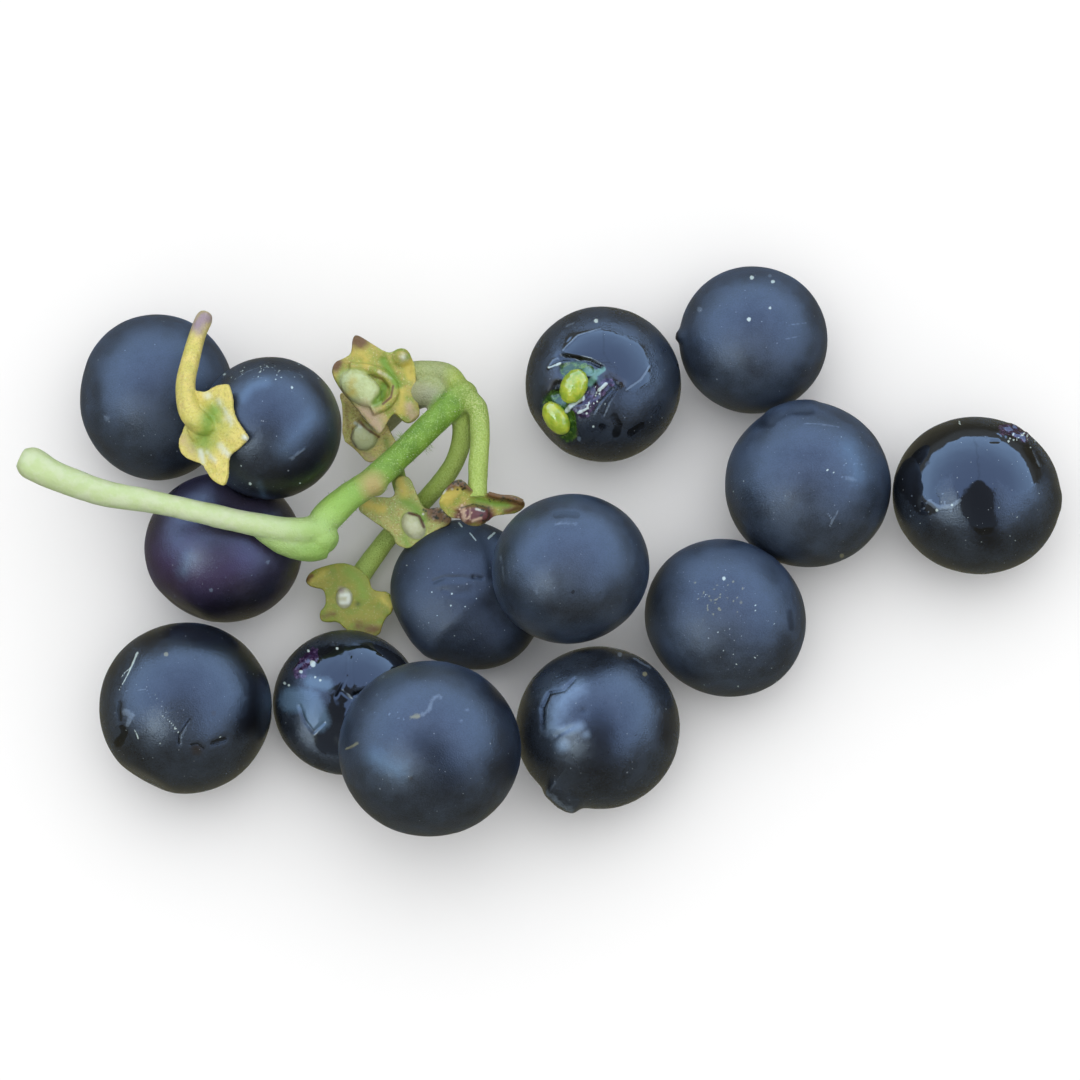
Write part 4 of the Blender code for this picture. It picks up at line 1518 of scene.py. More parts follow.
@dataclass
class BerryHeap:
    """All fourteen berries with their own marks."""

    matte: BerrySkin = BerrySkin(roughness=0.36, bloom_share=0.7)
    hazy: BerrySkin = BerrySkin(roughness=0.42, bloom_share=0.75, dust=0.3)
    dusty: BerrySkin = BerrySkin(roughness=0.42, bloom_share=0.75, dust=0.5)
    # painted reflection: the patch colours given below to dim, sunken, patched and split stand for mirrored sky;
    # split's teal one lies on torn flesh
    dim: BerrySkin = BerrySkin(roughness=0.32, bloom_share=0.5, painted_sheen=(0.06, 0.095, 0.14, 1.0))
    limp: BerrySkin = BerrySkin(roughness=0.46, bloom_share=0.5, dust=0.4)
    satin: BerrySkin = BerrySkin(roughness=0.24, bloom_share=0.45)
    sunken: BerrySkin = BerrySkin(roughness=0.26, bloom_share=0.45, painted_sheen=(0.09, 0.15, 0.22, 1.0),
                                  painted_sheen_softness=0.2)
    patched: BerrySkin = BerrySkin(roughness=0.26, bloom_share=0.5, painted_sheen=(0.13, 0.19, 0.27, 1.0),
                                   painted_sheen_softness=0.3)
    split: BerrySkin = BerrySkin(roughness=0.28, bloom_share=0.45, painted_sheen=(0.12, 0.26, 0.22, 1.0),
                                 painted_sheen_softness=0.15)
    purple: BerrySkin = BerrySkin(deep=(0.009, 0.008, 0.010, 1.0), bloom=(0.052, 0.044, 0.078, 1.0),
                                  roughness=0.32, bloom_share=0.55)

    def left(self) -> list[BerryShape]:
        """List the berries on the left."""
        return [
            BerryShape("berry_01", self.hazy, pressed_by=("berry_02",), oval=(0.04, 90),
                       marks=(spot(107, 418, 4, Tone.PALE, 0.02, 0.7),
                              Stroke(((84, 372), (88, 398)), (9, 9), None, -0.12))),
            BerryShape("berry_02", self.dim, steps=60,
                       marks=(Stroke(((237, 378), (247, 371), (259, 367)), (0.8, 0.8), Tone.PALE, 0.01, 0.6),
                              Stroke(((264, 367), (277, 368)), (0.8, 0.8), Tone.PALE, 0.01, 0.6),
                              Stroke(((281, 370), (293, 371), (304, 376)), (0.8, 0.8), Tone.PALE, 0.01, 0.6),
                              Stroke(((252, 379), (266, 377)), (0.7, 0.7), Tone.PALE, 0.01, 0.6),
                              *scatter(21, 44, (262, 371), (26, 6), 0.7, Tone.WHITE),
                              *scatter(22, 14, (262, 490), (24, 14), 0.7, Tone.WHITE),
                              Stroke(((291, 459), (298, 454), (305, 449)), (3, 2), Tone.PALE, 0.02, 0.62),
                              # painted reflections: the blue patch strokes stand for the mirrored stem and sky
                              Stroke(((259, 484), (264, 498), (264, 512)), (5, 6), Tone.PAINTED_SHEEN, 0, 0.5),
                              Stroke(((325, 450), (305, 474), (270, 494)), (24, 24), Tone.SHADE, 0, 0.95),
                              Stroke(((285, 448), (312, 416)), (13, 11), Tone.PAINTED_SHEEN, 0, 0.6),
                              Stroke(((243, 398), (252, 386), (266, 382)), (6, 6), Tone.PAINTED_SHEEN, 0.03, 0.8),
                              spot(224, 374, 1.6, Tone.WHITE), spot(250, 484, 1.6, Tone.WHITE),
                              spot(292, 387, 1.3, Tone.WHITE))),
            BerryShape("berry_03", self.purple, pressed_by=("berry_02",), slot=Slot.PURPLE_BERRY,
                       oval=(0.026, 0), marks=(Stroke(((168, 560), (205, 580), (245, 562)), (34, 26), Tone.VIOLET, 0,
                                                      0.75),
                                               Stroke(((270, 590), (240, 606), (200, 612)), (26, 22), Tone.SHADE, 0,
                                                      0.7),
                                               # painted highlight: the soft pale patch on the lower left
                                               Stroke(((188, 558), (183, 572)), (11, 10), Tone.PAINTED_SHEEN, 0, 0.5),
                                               Stroke(((166, 606), (192, 621)), (14, 10), None, -0.3),
                                               *scatter(23, 10, (235, 572), (30, 18), 0.8, Tone.PALE),
                                               spot(211, 590, 2, Tone.PALE), spot(268, 562, 2, Tone.PALE))),
            BerryShape("berry_04", self.satin, flat_side=(242, 0.35), steps=72,
                       marks=(Stroke(((137, 652), (131, 667)), (1.2, 1.0), Tone.WHITE, 0.03, 0.8),
                              Stroke(((131, 667), (126, 677), (119, 690)), (0.7, 0.5), Tone.WHITE, 0.02, 0.8),
                              Stroke(((131, 667), (125, 672), (121, 677)), (0.5, 0.5), Tone.WHITE, 0.02, 0.75),
                              Stroke(((160, 714), (169, 721), (178, 730)), (0.5, 0.5), Tone.WHITE, 0.01, 0.75),
                              Stroke(((125, 691), (146, 689), (152, 700)), (0.5, 0.5), Tone.PALE, 0.0, 0.8),
                              Stroke(((150, 640), (175, 632), (205, 637), (238, 650), (256, 684), (250, 722)),
                                     (12, 15), Tone.SHADE, 0.0, 0.95),
                              Stroke(((119, 703), (118, 712), (119, 720)), (2.6, 2.4), Tone.DARK, -0.05, 0.9),
                              Stroke(((121, 727), (124, 733), (118, 743)), (3, 5), Tone.DARK, -0.05, 0.9),
                              Stroke(((125, 712), (131, 715), (127, 725)), (4, 2), Tone.PALE, 0.02, 0.9),
                              # painted glints: the scatter of tiny white sparkles
                              *scatter(24, 40, (147, 722), (16, 18), 0.6, Tone.WHITE),
                              Stroke(((135, 731), (138, 739)), (0.8, 0.8), Tone.WHITE, 0.02, 0.8),
                              spot(166, 654, 2.2, Tone.TAN, 0.03), spot(214, 713, 2.5, Tone.BROWN),
                              Stroke(((179, 744), (179, 736), (185, 726), (190, 719)), (1.6, 1.2), Tone.DARK, -0.08,
                                     0.9, crumbs=0.08),
                              spot(197, 750, 7, Tone.BROWN, -0.04, 0.8),
                              Stroke(((191, 745), (198, 744), (204, 749)), (1.2, 1.2), Tone.DARK, -0.05, 0.9),
                              Stroke(((213, 744), (225, 740)), (3, 3), Tone.DARK, -0.05, 0.9),
                              # painted glint: the tiny white spot on the dark mark
                              spot(220.5, 737.5, 0.9, Tone.WHITE))),
            BerryShape("berry_05", self.sunken, pressed_by=("berry_06",), steps=84, lumps=0.12,
                       marks=(Stroke(((330, 668), (352, 666), (372, 662), (396, 668)), (24, 20), Tone.WET, 0.08),
                              Stroke(((345, 703), (340, 722), (332, 738)), (17, 20), Tone.WET, -0.35),
                              # painted reflection: the blue lobes on the left stand for mirrored sky
                              Stroke(((290, 700), (309, 700), (317, 722)), (12, 11), Tone.PAINTED_SHEEN, 0.05),
                              Stroke(((310, 682), (326, 684)), (8, 8), Tone.PAINTED_SHEEN, 0.0, 0.8),
                              Stroke(((308, 722), (314, 730), (319, 722)), (2.4, 2.4), Tone.PALE, 0.03, 0.8),
                              Stroke(((299, 706), (303, 720), (312, 733), (322, 724)), (1.6, 2), Tone.DARK, -0.1,
                                     0.8),
                              Stroke(((342, 692), (344, 702), (340, 712)), (8, 12), Tone.SHADE, 0.0),
                              Stroke(((336, 696), (347, 676)), (1.6, 1.6), None, -0.07),
                              Stroke(((350, 655), (350, 684)), (1.8, 1.8), None, -0.05),
                              Stroke(((357, 694), (366, 691), (376, 684)), (3.4, 2), Tone.DARK, -0.18),
                              Stroke(((342, 691), (352, 699)), (1.5, 1.5), None, -0.1),
                              Stroke(((300, 671), (306, 662), (313, 654)), (7, 6), Tone.TISSUE, 0.06,
                                     crumbs=0.16),
                              spot(313, 664, 2.6, Tone.WHITE, 0.06), spot(301.5, 672, 1.8, Tone.WHITE, 0.05),
                              spot(284, 683, 1.4, Tone.WHITE), spot(288, 685, 1.3, Tone.WHITE),
                              spot(308.5, 651, 1.5, Tone.WHITE), spot(337, 648, 1.5, Tone.WHITE),
                              spot(315, 677, 1.2, Tone.WHITE), spot(320, 680, 1.2, Tone.WHITE))),
            BerryShape("berry_06", self.matte, oval=(0.017, 0), steps=60,
                       marks=(Stroke(((411, 717), (419, 716)), (4, 4), Tone.TAN, 0.02, 0.62),
                              Stroke(((422, 715), (430, 709), (432, 700), (438, 695), (441, 698)), (3.2, 2.8),
                                     Tone.PALE, 0.03, 0.7),
                              Stroke(((504, 688), (514, 722), (506, 762)), (24, 24), Tone.SHADE, 0, 0.9),
                              Stroke(((424, 742), (440, 758), (452, 776)), (16, 24), Tone.SHADE, -0.05, 0.8),
                              Stroke(((345, 749), (351, 747), (357, 743)), (1.4, 2), Tone.TAN, 0.02, 0.75),
                              spot(410.5, 778, 2.6, Tone.BROWN, 0.03),
                              # painted reflection: a light blue patch
                              Stroke(((374, 756), (386, 765), (398, 770)), (11, 13), Tone.PAINTED_SHEEN, 0.0, 0.64),
                              spot(389, 775, 4, Tone.PALE, 0.0, 0.66),
                              spot(467, 710, 3, Tone.PALE, 0, 0.7), spot(461, 721, 3, Tone.PALE, 0, 0.65),
                              *scatter(6, 14, (375, 690), (22, 16), 1.2, Tone.PALE))),
        ]

    def middle(self) -> list[BerryShape]:
        """List the berries in the middle."""
        return [
            BerryShape("berry_07", self.patched, pressed_by=("berry_09",), steps=84,
                       marks=(Stroke(((552, 789), (562, 799), (573, 807)), (7, 7), None, 0.75),
                              Stroke(((551, 787), (562, 797), (574, 805)), (3, 3), Tone.PALE, 0.0, 0.62),
                              Stroke(((574, 679), (564, 690), (549, 693), (542, 708), (543, 728)), (1.4, 2.6),
                                     Tone.DARK, -0.14),
                              Stroke(((552, 694), (549, 699)), (3, 3), Tone.BROWN, 0.03),
                              # painted reflection and painted highlights: the blue flap, its lighter lower edge and the
                              # two pale spots below
                              Stroke(((578, 688), (565, 698), (556, 712), (553, 728)), (12, 11), Tone.PAINTED_SHEEN, 0.06, 0.7),
                              Stroke(((551, 727), (566, 730), (580, 726)), (6, 6), Tone.PAINTED_SHEEN, 0.04, 0.8),
                              Stroke(((557, 735), (572, 727)), (2, 2), None, -0.08),
                              Stroke(((549, 700), (547, 718), (548, 731)), (1.0, 1.0), Tone.PALE, 0.0, 0.7),
                              spot(562, 745, 8, Tone.PAINTED_SHEEN, 0.03, 0.8), spot(586, 734, 6, Tone.PAINTED_SHEEN, 0.03, 0.62),
                              spot(584, 711, 3.6, Tone.SHADE, -0.08, 0.9),
                              Stroke(((602, 718), (600, 734), (596, 754)), (13, 30), Tone.SHADE, 0.0, 1.0),
                              Stroke(((664, 726), (666, 734)), (11, 11), Tone.SHADE, -0.04, 0.8),
                              spot(645, 674, 2.2, Tone.TAN), spot(620, 654, 2.2, Tone.PALE),
                              Stroke(((634, 658), (650, 668)), (1.4, 1.4), Tone.PALE, 0.02, 0.75))),
            BerryShape("berry_08", self.limp, pressed_by=("berry_09",), flat_side=(206, 0.3), steps=84,
                       oval=(0.04, -46),
                       marks=(Stroke(((433, 581), (444, 577), (456, 577), (474, 577)), (2.2, 1.8), None, -0.1),
                              Stroke(((474, 577), (482, 578)), (2.2, 2.2), Tone.SHADE, -0.1),
                              Stroke(((438, 586), (450, 584), (466, 584)), (3.5, 3), None, 0.06),
                              Stroke(((444, 590), (455, 594), (470, 592)), (3, 4), None, -0.05),
                              Stroke(((488, 591), (466, 612), (444, 632), (427, 655)), (9, 9), None, 0.10),
                              Stroke(((505, 610), (478, 640), (455, 662)), (26, 22), None, -0.26),
                              *scatter(8, 14, (455, 600), (28, 26), 0.75, Tone.WHITE),
                              Stroke(((480, 530), (490, 552), (494, 575)), (8, 6), Tone.SHADE, -0.1, 0.9),
                              Stroke(((472, 600), (490, 612), (500, 630)), (16, 18), Tone.SHADE, 0, 0.6),
                              # painted glints: thin white lines along the dark gap at the top
                              Stroke(((455, 520), (459, 523), (462, 527)), (1.2, 0.8), Tone.WHITE, 0.04),
                              Stroke(((470, 533), (476, 540)), (0.7, 0.7), Tone.WHITE, 0.03),
                              Stroke(((489, 537), (495, 532)), (1.2, 1.0), Tone.WHITE, 0.03))),
            BerryShape("berry_09", self.matte, oval=(0.03, 20),
                       marks=(Stroke(((556, 515), (566, 514), (577, 515)), (3.4, 3.4), Tone.DARK, -0.05),
                              Stroke(((556, 524), (576, 524)), (3.5, 3.5), Tone.PALE, 0.02, 0.6),
                              # the pale spot at 536, 590 is a painted highlight
                              spot(573, 592, 2.2, Tone.DARK), spot(536, 590, 5, Tone.PALE, 0.01, 0.6),
                              Stroke(((500, 556), (503, 580)), (2, 2), Tone.PALE, 0, 0.55))),
            BerryShape("berry_10", self.dusty, pressed_by=("berry_11",), oval=(0.025, -38), steps=64,
                       marks=(spot(724, 578, 1.8, Tone.WHITE), spot(711, 600, 2.4, Tone.TAN, 0.0, 0.7),
                              spot(741, 602, 2.4, Tone.TAN, 0.0, 0.7),
                              *scatter(10, 44, (722, 603), (19, 10), 1.0, Tone.TAN),
                              *scatter(12, 64, (735, 636), (34, 28), 0.55, Tone.WHITE),
                              Stroke(((790, 612), (792, 628)), (3, 3), Tone.SHADE))),
        ]

    def right(self) -> list[BerryShape]:
        """List the berries on the right."""
        return [
            BerryShape("berry_11", self.hazy, steps=56,
                       marks=(Stroke(((772, 414), (792, 403), (812, 399)), (9, 7), None, 0.3),
                              # painted glint: a thin light line where this berry meets berry_13
                              Stroke(((770, 410), (784, 404), (800, 401)), (1.6, 1.4), Tone.WHITE, 0.04, 0.62),
                              Stroke(((774, 419), (792, 412), (812, 411)), (3.5, 3), Tone.SHADE, -0.06),
                              Stroke(((762, 424), (772, 424)), (4, 3), Tone.SHADE, -0.04),
                              # painted highlight: a hazy pale patch and pale flecks on the right
                              Stroke(((848, 448), (855, 460), (857, 476)), (14, 12), Tone.PAINTED_SHEEN, 0.0, 0.55),
                              *scatter(16, 26, (855, 462), (7, 15), 0.9, Tone.PALE),
                              Stroke(((847, 478), (855, 480)), (3, 3), Tone.PALE, 0.02, 0.65),
                              *scatter(11, 30, (800, 480), (38, 34), 0.55, Tone.WHITE),
                              spot(842, 556, 2.2, Tone.TAN),
                              Stroke(((827, 513), (833, 520), (830, 526)), (1.2, 1.2), Tone.PALE, 0.02, 0.85),
                              Stroke(((838, 511), (834, 519)), (1.1, 1.1), Tone.PALE, 0.02, 0.8),
                              Stroke(((804, 423), (820, 424), (839, 427)), (0.9, 0.9), Tone.PALE, 0.0, 0.8),
                              Stroke(((846, 398), (868, 420)), (12, 12), None, -0.1))),
            BerryShape("berry_12", self.satin, steps=84, oval=(0.035, -10),
                       marks=(Stroke(((916, 470), (930, 452), (966, 448), (1000, 452), (1020, 468)), (28, 24),
                                     Tone.WET),
                              Stroke(((914, 480), (926, 502)), (18, 14), Tone.WET),
                              Stroke(((975, 470), (977, 505), (984, 524)), (26, 13), Tone.WET, 0.0, 0.95),
                              Stroke(((978, 492), (984, 520), (988, 536)), (13, 15), Tone.SHADE),
                              # painted highlight: pale and white flecks along the lower edge of the mirrored sky
                              Stroke(((930, 502), (938, 508), (952, 506), (960, 500)), (3, 2), Tone.PALE, 0.02, 0.9),
                              *scatter(17, 26, (938, 506), (12, 5), 1.0, Tone.PALE),
                              spot(937, 510, 1.5, Tone.WHITE), spot(952, 505, 1.2, Tone.WHITE),
                              *scatter(12, 26, (985, 520), (34, 22), 0.55, Tone.WHITE),
                              Stroke(((1004, 430), (1013, 429), (1024, 437)), (5.5, 5), Tone.TISSUE, 0.16,
                                     crumbs=0.34),
                              *scatter(18, 14, (1017, 438), (9, 3), 0.9, Tone.WHITE),
                              spot(1014, 426, 1.5, Tone.WHITE), spot(1021, 436, 1.3, Tone.WHITE),
                              Stroke(((991, 441), (998, 441)), (1.8, 1.5), Tone.DARK, -0.05),
                              Stroke(((1030, 448), (1037, 462), (1044, 476)), (5, 7), Tone.SHADE, -0.1),
                              Stroke(((1034, 450), (1041, 466)), (1.4, 1.4), Tone.PALE, -0.04, 0.6),
                              Stroke(((1060, 496), (1063, 508)), (7, 7), None, 0.12),
                              Stroke(((959, 421), (960, 424)), (0.6, 0.6), Tone.WHITE))),
            BerryShape("berry_13", self.hazy, steps=60,
                       marks=(Stroke(((678, 334), (679, 338)), (4.5, 4.5), Tone.DARK, 0.42, 0.75),
                              Stroke(((789, 325), (806, 323)), (0.9, 0.9), Tone.PALE, 0, 0.75),
                              Stroke(((786, 339), (800, 336)), (0.9, 0.9), Tone.PALE, 0, 0.7),
                              spot(752, 277, 2, Tone.WHITE), spot(770, 275, 1.8, Tone.PALE),
                              spot(773, 281, 1.8, Tone.WHITE), spot(749, 319, 2, Tone.WHITE),
                              spot(770, 308, 1.5, Tone.WHITE), spot(699, 309, 2.6, Tone.PALE))),
            BerryShape("berry_14", self.split, flat_side=(222, 0.35), steps=90, lumps=0.1,
                       marks=(Stroke(((577, 345), (606, 344), (632, 356), (634, 374)), (14, 17), Tone.WET, 0.08,
                                     flat=True),
                              Stroke(((626, 390), (640, 380), (650, 366)), (1.2, 1.2), Tone.PALE, 0.03, 0.85),
                              Stroke(((563, 350), (578, 335), (600, 328)), (1.2, 1.2), Tone.PALE, 0.03, 0.75),
                              Stroke(((561, 357), (575, 358), (590, 361), (602, 367)), (3.4, 1.4), Tone.DARK, -0.35),
                              Stroke(((567, 370), (576, 366), (588, 369)), (8, 5), Tone.FLESH, -0.3, flat=True),
                              # painted reflection: teal patches on the torn flesh
                              Stroke(((586, 371), (596, 373), (603, 369)), (5, 3), Tone.PAINTED_SHEEN, -0.1, 0.9),
                              Stroke(((588, 383), (594, 378)), (4.5, 4), Tone.PAINTED_SHEEN, -0.15, 0.85),
                              Stroke(((553, 374), (548, 398)), (12, 12), Tone.BROWN, 0.0, 0.7),
                              Stroke(((560, 392), (575, 392), (586, 390)), (11, 12), Tone.DARK, -0.35, flat=True),
                              Stroke(((553, 404), (562, 420), (567, 434)), (12, 9), Tone.FLESH, -0.35, flat=True),
                              Stroke(((572, 414), (573, 430)), (3, 3), Tone.FLESH, -0.1),
                              # painted glint: the pale and white crescent on the left
                              Stroke(((548, 367), (553, 360), (561, 357)), (1.2, 1.2), Tone.PALE, 0.08, 0.9),
                              Stroke(((549, 368), (560, 363)), (1.4, 1.2), Tone.WHITE, 0.08, 0.75),
                              Stroke(((582, 410), (590, 401), (598, 391), (608, 383)), (8, 5), Tone.TISSUE, 0.03,
                                     crumbs=0.18),
                              *scatter(15, 26, (594, 398), (13, 9), 1.3, Tone.SHADE),
                              Stroke(((606, 373), (614, 378), (623, 384)), (4.5, 4), Tone.BROWN, 0.05, crumbs=0.12),
                              Stroke(((612, 381), (619, 386)), (2, 2), Tone.DARK, -0.05),
                              Stroke(((599, 390), (606, 384)), (1.8, 1.6), Tone.WHITE, 0.06, crumbs=0.1),
                              # painted glints: the next two white strokes on the wet flesh
                              Stroke(((565, 412), (572, 404), (582, 398)), (3, 2.6), Tone.WHITE, 0.1, 0.9,
                                     crumbs=0.2),
                              Stroke(((555, 409), (558, 414), (562, 416)), (2.4, 2.4), Tone.WHITE, 0.12, 0.8),
                              Stroke(((578, 413), (588, 408)), (1.8, 1.5), Tone.WHITE, 0.05, 0.8, crumbs=0.1),
                              *scatter(14, 16, (590, 402), (9, 9), 0.9, Tone.WHITE),
                              Stroke(((612, 389), (600, 402), (594, 412)), (1.2, 1), Tone.SHADE, -0.12),
                              Stroke(((617, 390), (608, 404), (603, 416)), (1.2, 1), Tone.SHADE, -0.1),
                              spot(602, 427, 3.6, Tone.DARK, -0.05),
                              Stroke(((614, 417), (619, 426), (616, 434)), (4, 4), Tone.DARK, -0.06),
                              Stroke(((631, 433), (642, 425)), (3.6, 3), Tone.DARK, -0.05),
                              Stroke(((566, 326), (574, 322)), (1.5, 1.5), Tone.PALE, 0, 0.6),
                              spot(596, 320, 2, Tone.WHITE), spot(579, 439, 2, Tone.PALE))),
        ]

    def build(self, camera: PictureCamera) -> None:
        """Make every berry.

        Args:
            camera: The camera that the marks are drawn through.
        """
        for shape in self.left() + self.middle() + self.right():
            piece = shape.build(camera)
            LOG.info("%s: %d points", piece.name, len(piece.data.vertices))


@dataclass
class CalyxSet:
    """The six calyces."""

    fruit_stem: Limb = Limb(((-26.9, 6.8, 16.9, 0.7), (-27.8, 7.2, 17.3, 0.95), (-28.7, 8.2, 17.3, 0.9),
                             (-29.1, 10.7, 16.3, 0.82), (-28.8, 13.0, 15.5, 0.77),
                             (-28.3, 15.4, 14.9, 0.70), (-27.8, 16.9, 14.6, 0.72),
                             (-27.6, 17.4, 14.5, 0.5)))
    yellowed: CalyxSkin = CalyxSkin(green=(0.60, 0.54, 0.13, 1.0), yellow=(0.72, 0.60, 0.18, 1.0), freckles=0.3)
    olive: CalyxSkin = CalyxSkin(green=(0.20, 0.25, 0.03, 1.0), yellow=(0.28, 0.26, 0.04, 1.0),
                                 scar=(0.66, 0.66, 0.60, 1.0), rim=(0.26, 0.27, 0.05, 1.0), freckles=0.15)
    tan: CalyxSkin = CalyxSkin(green=(0.31, 0.37, 0.10, 1.0), yellow=(0.42, 0.38, 0.12, 1.0),
                               scar=(0.74, 0.72, 0.66, 1.0), freckles=0.5)
    speckled: CalyxSkin = CalyxSkin(green=(0.50, 0.50, 0.14, 1.0), yellow=(0.66, 0.55, 0.20, 1.0),
                                    scar=(0.66, 0.74, 0.50, 1.0), rim=(0.44, 0.46, 0.20, 1.0), freckles=0.5)

    def first(self) -> Calyx:
        """The large calyx at the top."""
        return Calyx(
            "calyx_1", (372, 386), 8.5,
            ((355.6, 334.3), (364.4, 338.9), (372.7, 344.4), (384.8, 351.8), (391.2, 352.8), (397.7, 348.6),
             (403.3, 348.1), (408.8, 351.4), (412.5, 360.2), (415.3, 366), (415.7, 376.8), (416.2, 389.8),
             (418.1, 403.6), (420.4, 413.8), (416.2, 420.3), (408.8, 424), (403.3, 421.7), (396.8, 415.7),
             (394, 412.9), (388.5, 420.3), (383.8, 429.5), (379.2, 435.1), (373.7, 429.5), (368.1, 423.1),
             (360.7, 413.8), (353.3, 404.6), (343.1, 393.5), (337.6, 385.1), (333, 376.8), (331.6, 369.4),
             (334.8, 362), (342.2, 359.2), (350.5, 354.6), (351.9, 348.1), (352.4, 338.9)),
            facing=(0.1, -0.2, 1.0),
            knobs=(Knob((361, 388.5), 0.6, (1.95, 1.25, 0.95), -35, True), Knob((401, 358), 0.1, (0.75, 0.8, 0.7))),
            ribs=(Rib(((350, 367), (362, 368), (373, 370), (385, 375), (393, 384), (394, 394), (386, 405),
                       (372, 411)), 0.45, 0.42),),
            marks=(Stroke(((355, 335), (360, 340)), (13, 9), Tone.BROWN), spot(335, 364, 7, Tone.BROWN),
                   Stroke(((372, 376), (382, 379), (388, 387)), (2, 2), Tone.BROWN, -0.12, 0.6),
                   Stroke(((383, 404), (391, 397), (393, 386)), (1.3, 1.3), Tone.BROWN, -0.05, 0.85),
                   Stroke(((379, 372), (391, 378)), (4, 3), Tone.WHITE, 0.0, 0.45),
                   spot(404, 358, 6, Tone.WHITE, 0.3, 0.6), Stroke(((408, 366), (410, 376)), (6, 5), Tone.YELLOW,
                                                                   -0.3),
                   spot(410, 372, 3, Tone.BROWN, 0.0, 0.5),
                   Stroke(((409, 406), (413, 416)), (7, 9), Tone.PINK, 0.1, 0.6),
                   Stroke(((402, 392), (401, 412)), (5, 5), Tone.YELLOW, 0.0, 0.8),
                   Stroke(((364, 411), (374, 418), (380, 430)), (13, 9), Tone.PINK, 0.4, 0.7),
                   Stroke(((362, 418), (371, 428), (378, 434)), (3, 2), Tone.WHITE, 0.0, 0.5),
                   Stroke(((341, 389), (350, 402)), (5, 5), Tone.BROWN, 0.1, 0.5),
                   Stroke(((345, 396), (352, 392)), (6, 6), Tone.YELLOW, 0.0, 0.7),
                   Stroke(((360, 352), (366, 360)), (12, 10), Tone.YELLOW, 0.15, 0.7),
                   Stroke(((383, 360), (390, 372), (398, 386)), (5, 5), Tone.GREEN, -0.3, 0.8),
                   # painted shadow: the dark green and dark strokes right below the pale scar
                   Stroke(((375, 403), (382, 395), (384, 386)), (4, 4), Tone.GREEN, -0.25),
                   Stroke(((377, 398), (382, 391)), (2, 2), Tone.DARK, -0.1, 0.45),
                   Stroke(((348, 396), (352, 380)), (6, 7), Tone.YELLOW, 0.0, 0.55)))

    def second(self) -> Calyx:
        """The small calyx below the first."""
        return Calyx(
            "calyx_2", (362, 434), 5.4,
            ((338.5, 391.6), (343.1, 408.3), (342.2, 439.7), (352.4, 447.1), (359.8, 454.5), (367.2, 463.0),
             (376.5, 461.0), (388.0, 453.0), (398.0, 444.5), (391.5, 434.0), (386.5, 423.0), (379.2, 413.4),
             (364.4, 403.3), (350.5, 395.2)),
            facing=(-0.1, -0.2, 1.0), skin=self.speckled,
            knobs=(Knob((364, 437), 0.75, (1.1, 1.1, 0.8), 0, True),),
            ribs=(Rib(((359, 421), (367, 428), (380, 436)), 1.05, 0.3),),
            marks=(Stroke(((359, 421), (367, 429), (379, 437)), (2, 1.5), Tone.BROWN, 0.0, 0.8),
                   Stroke(((355, 423), (361, 427)), (2.2, 2.2), Tone.WHITE, 0.05, 0.7),
                   Stroke(((353, 428), (351, 438), (356, 447)), (1.4, 1.4), Tone.BROWN, -0.1, 0.6),
                   Stroke(((346, 405), (348, 430)), (4, 4), Tone.BROWN, 0, 0.5),
                   Stroke(((386, 440), (388, 448)), (5, 5), Tone.GREEN, 0, 0.6),
                   Stroke(((366, 455), (372, 459)), (6, 5), Tone.PINK, 0, 0.6)))

    def third(self) -> Calyx:
        """The pale speckled calyx in the middle."""
        return Calyx(
            "calyx_3", (411, 520), 6.2,
            ((394.8, 482.7), (397.2, 476.8), (404.3, 475.6), (410.2, 478), (414.9, 488.6), (420.8, 503.9),
             (425.5, 508.7), (432.6, 508.7), (439.7, 506.3), (447.9, 512.2), (452.6, 518.1), (449.1, 525.2),
             (439.7, 528.7), (430.2, 534.6), (420.8, 540.5), (411.3, 547.6), (405.5, 548.8), (394.8, 544),
             (393.7, 535.8), (377.1, 524), (368.9, 518.1), (357.1, 509.8), (361.8, 502.8), (365.3, 496.9),
             (379.5, 496.9), (393.7, 498), (395.4, 488.6)),
            knobs=(Knob((413.7, 525.8), 0.3, (1.2, 0.9, 0.8), -58, True),), skin=self.tan,
            marks=(Stroke(((409, 513), (419, 516), (424, 527)), (1.8, 1.8), Tone.PURPLE, -0.05, 0.8),
                   Stroke(((432, 512), (441, 516), (448, 520)), (8, 7), Tone.BROWN, 0.1, 0.9),
                   Stroke(((404, 500), (416, 509), (424, 519)), (8, 6), Tone.GREEN, -0.15, 0.75),
                   Stroke(((400, 480), (405, 492)), (6, 8), Tone.YELLOW, 0.1, 0.75),
                   Stroke(((366, 505), (382, 509)), (7, 7), Tone.YELLOW, 0.1, 0.8),
                   *scatter(31, 26, (438, 515), (7, 5), 1.1, Tone.WHITE),
                   *scatter(32, 26, (438, 515), (7, 5), 1.1, Tone.DARK),
                   spot(402, 491, 2.5, Tone.PINK, 0, 0.5), spot(412, 534, 3, Tone.PINK, 0, 0.4),
                   Stroke(((404, 538), (408, 545)), (7, 6), Tone.GREEN, 0.0, 0.62)))

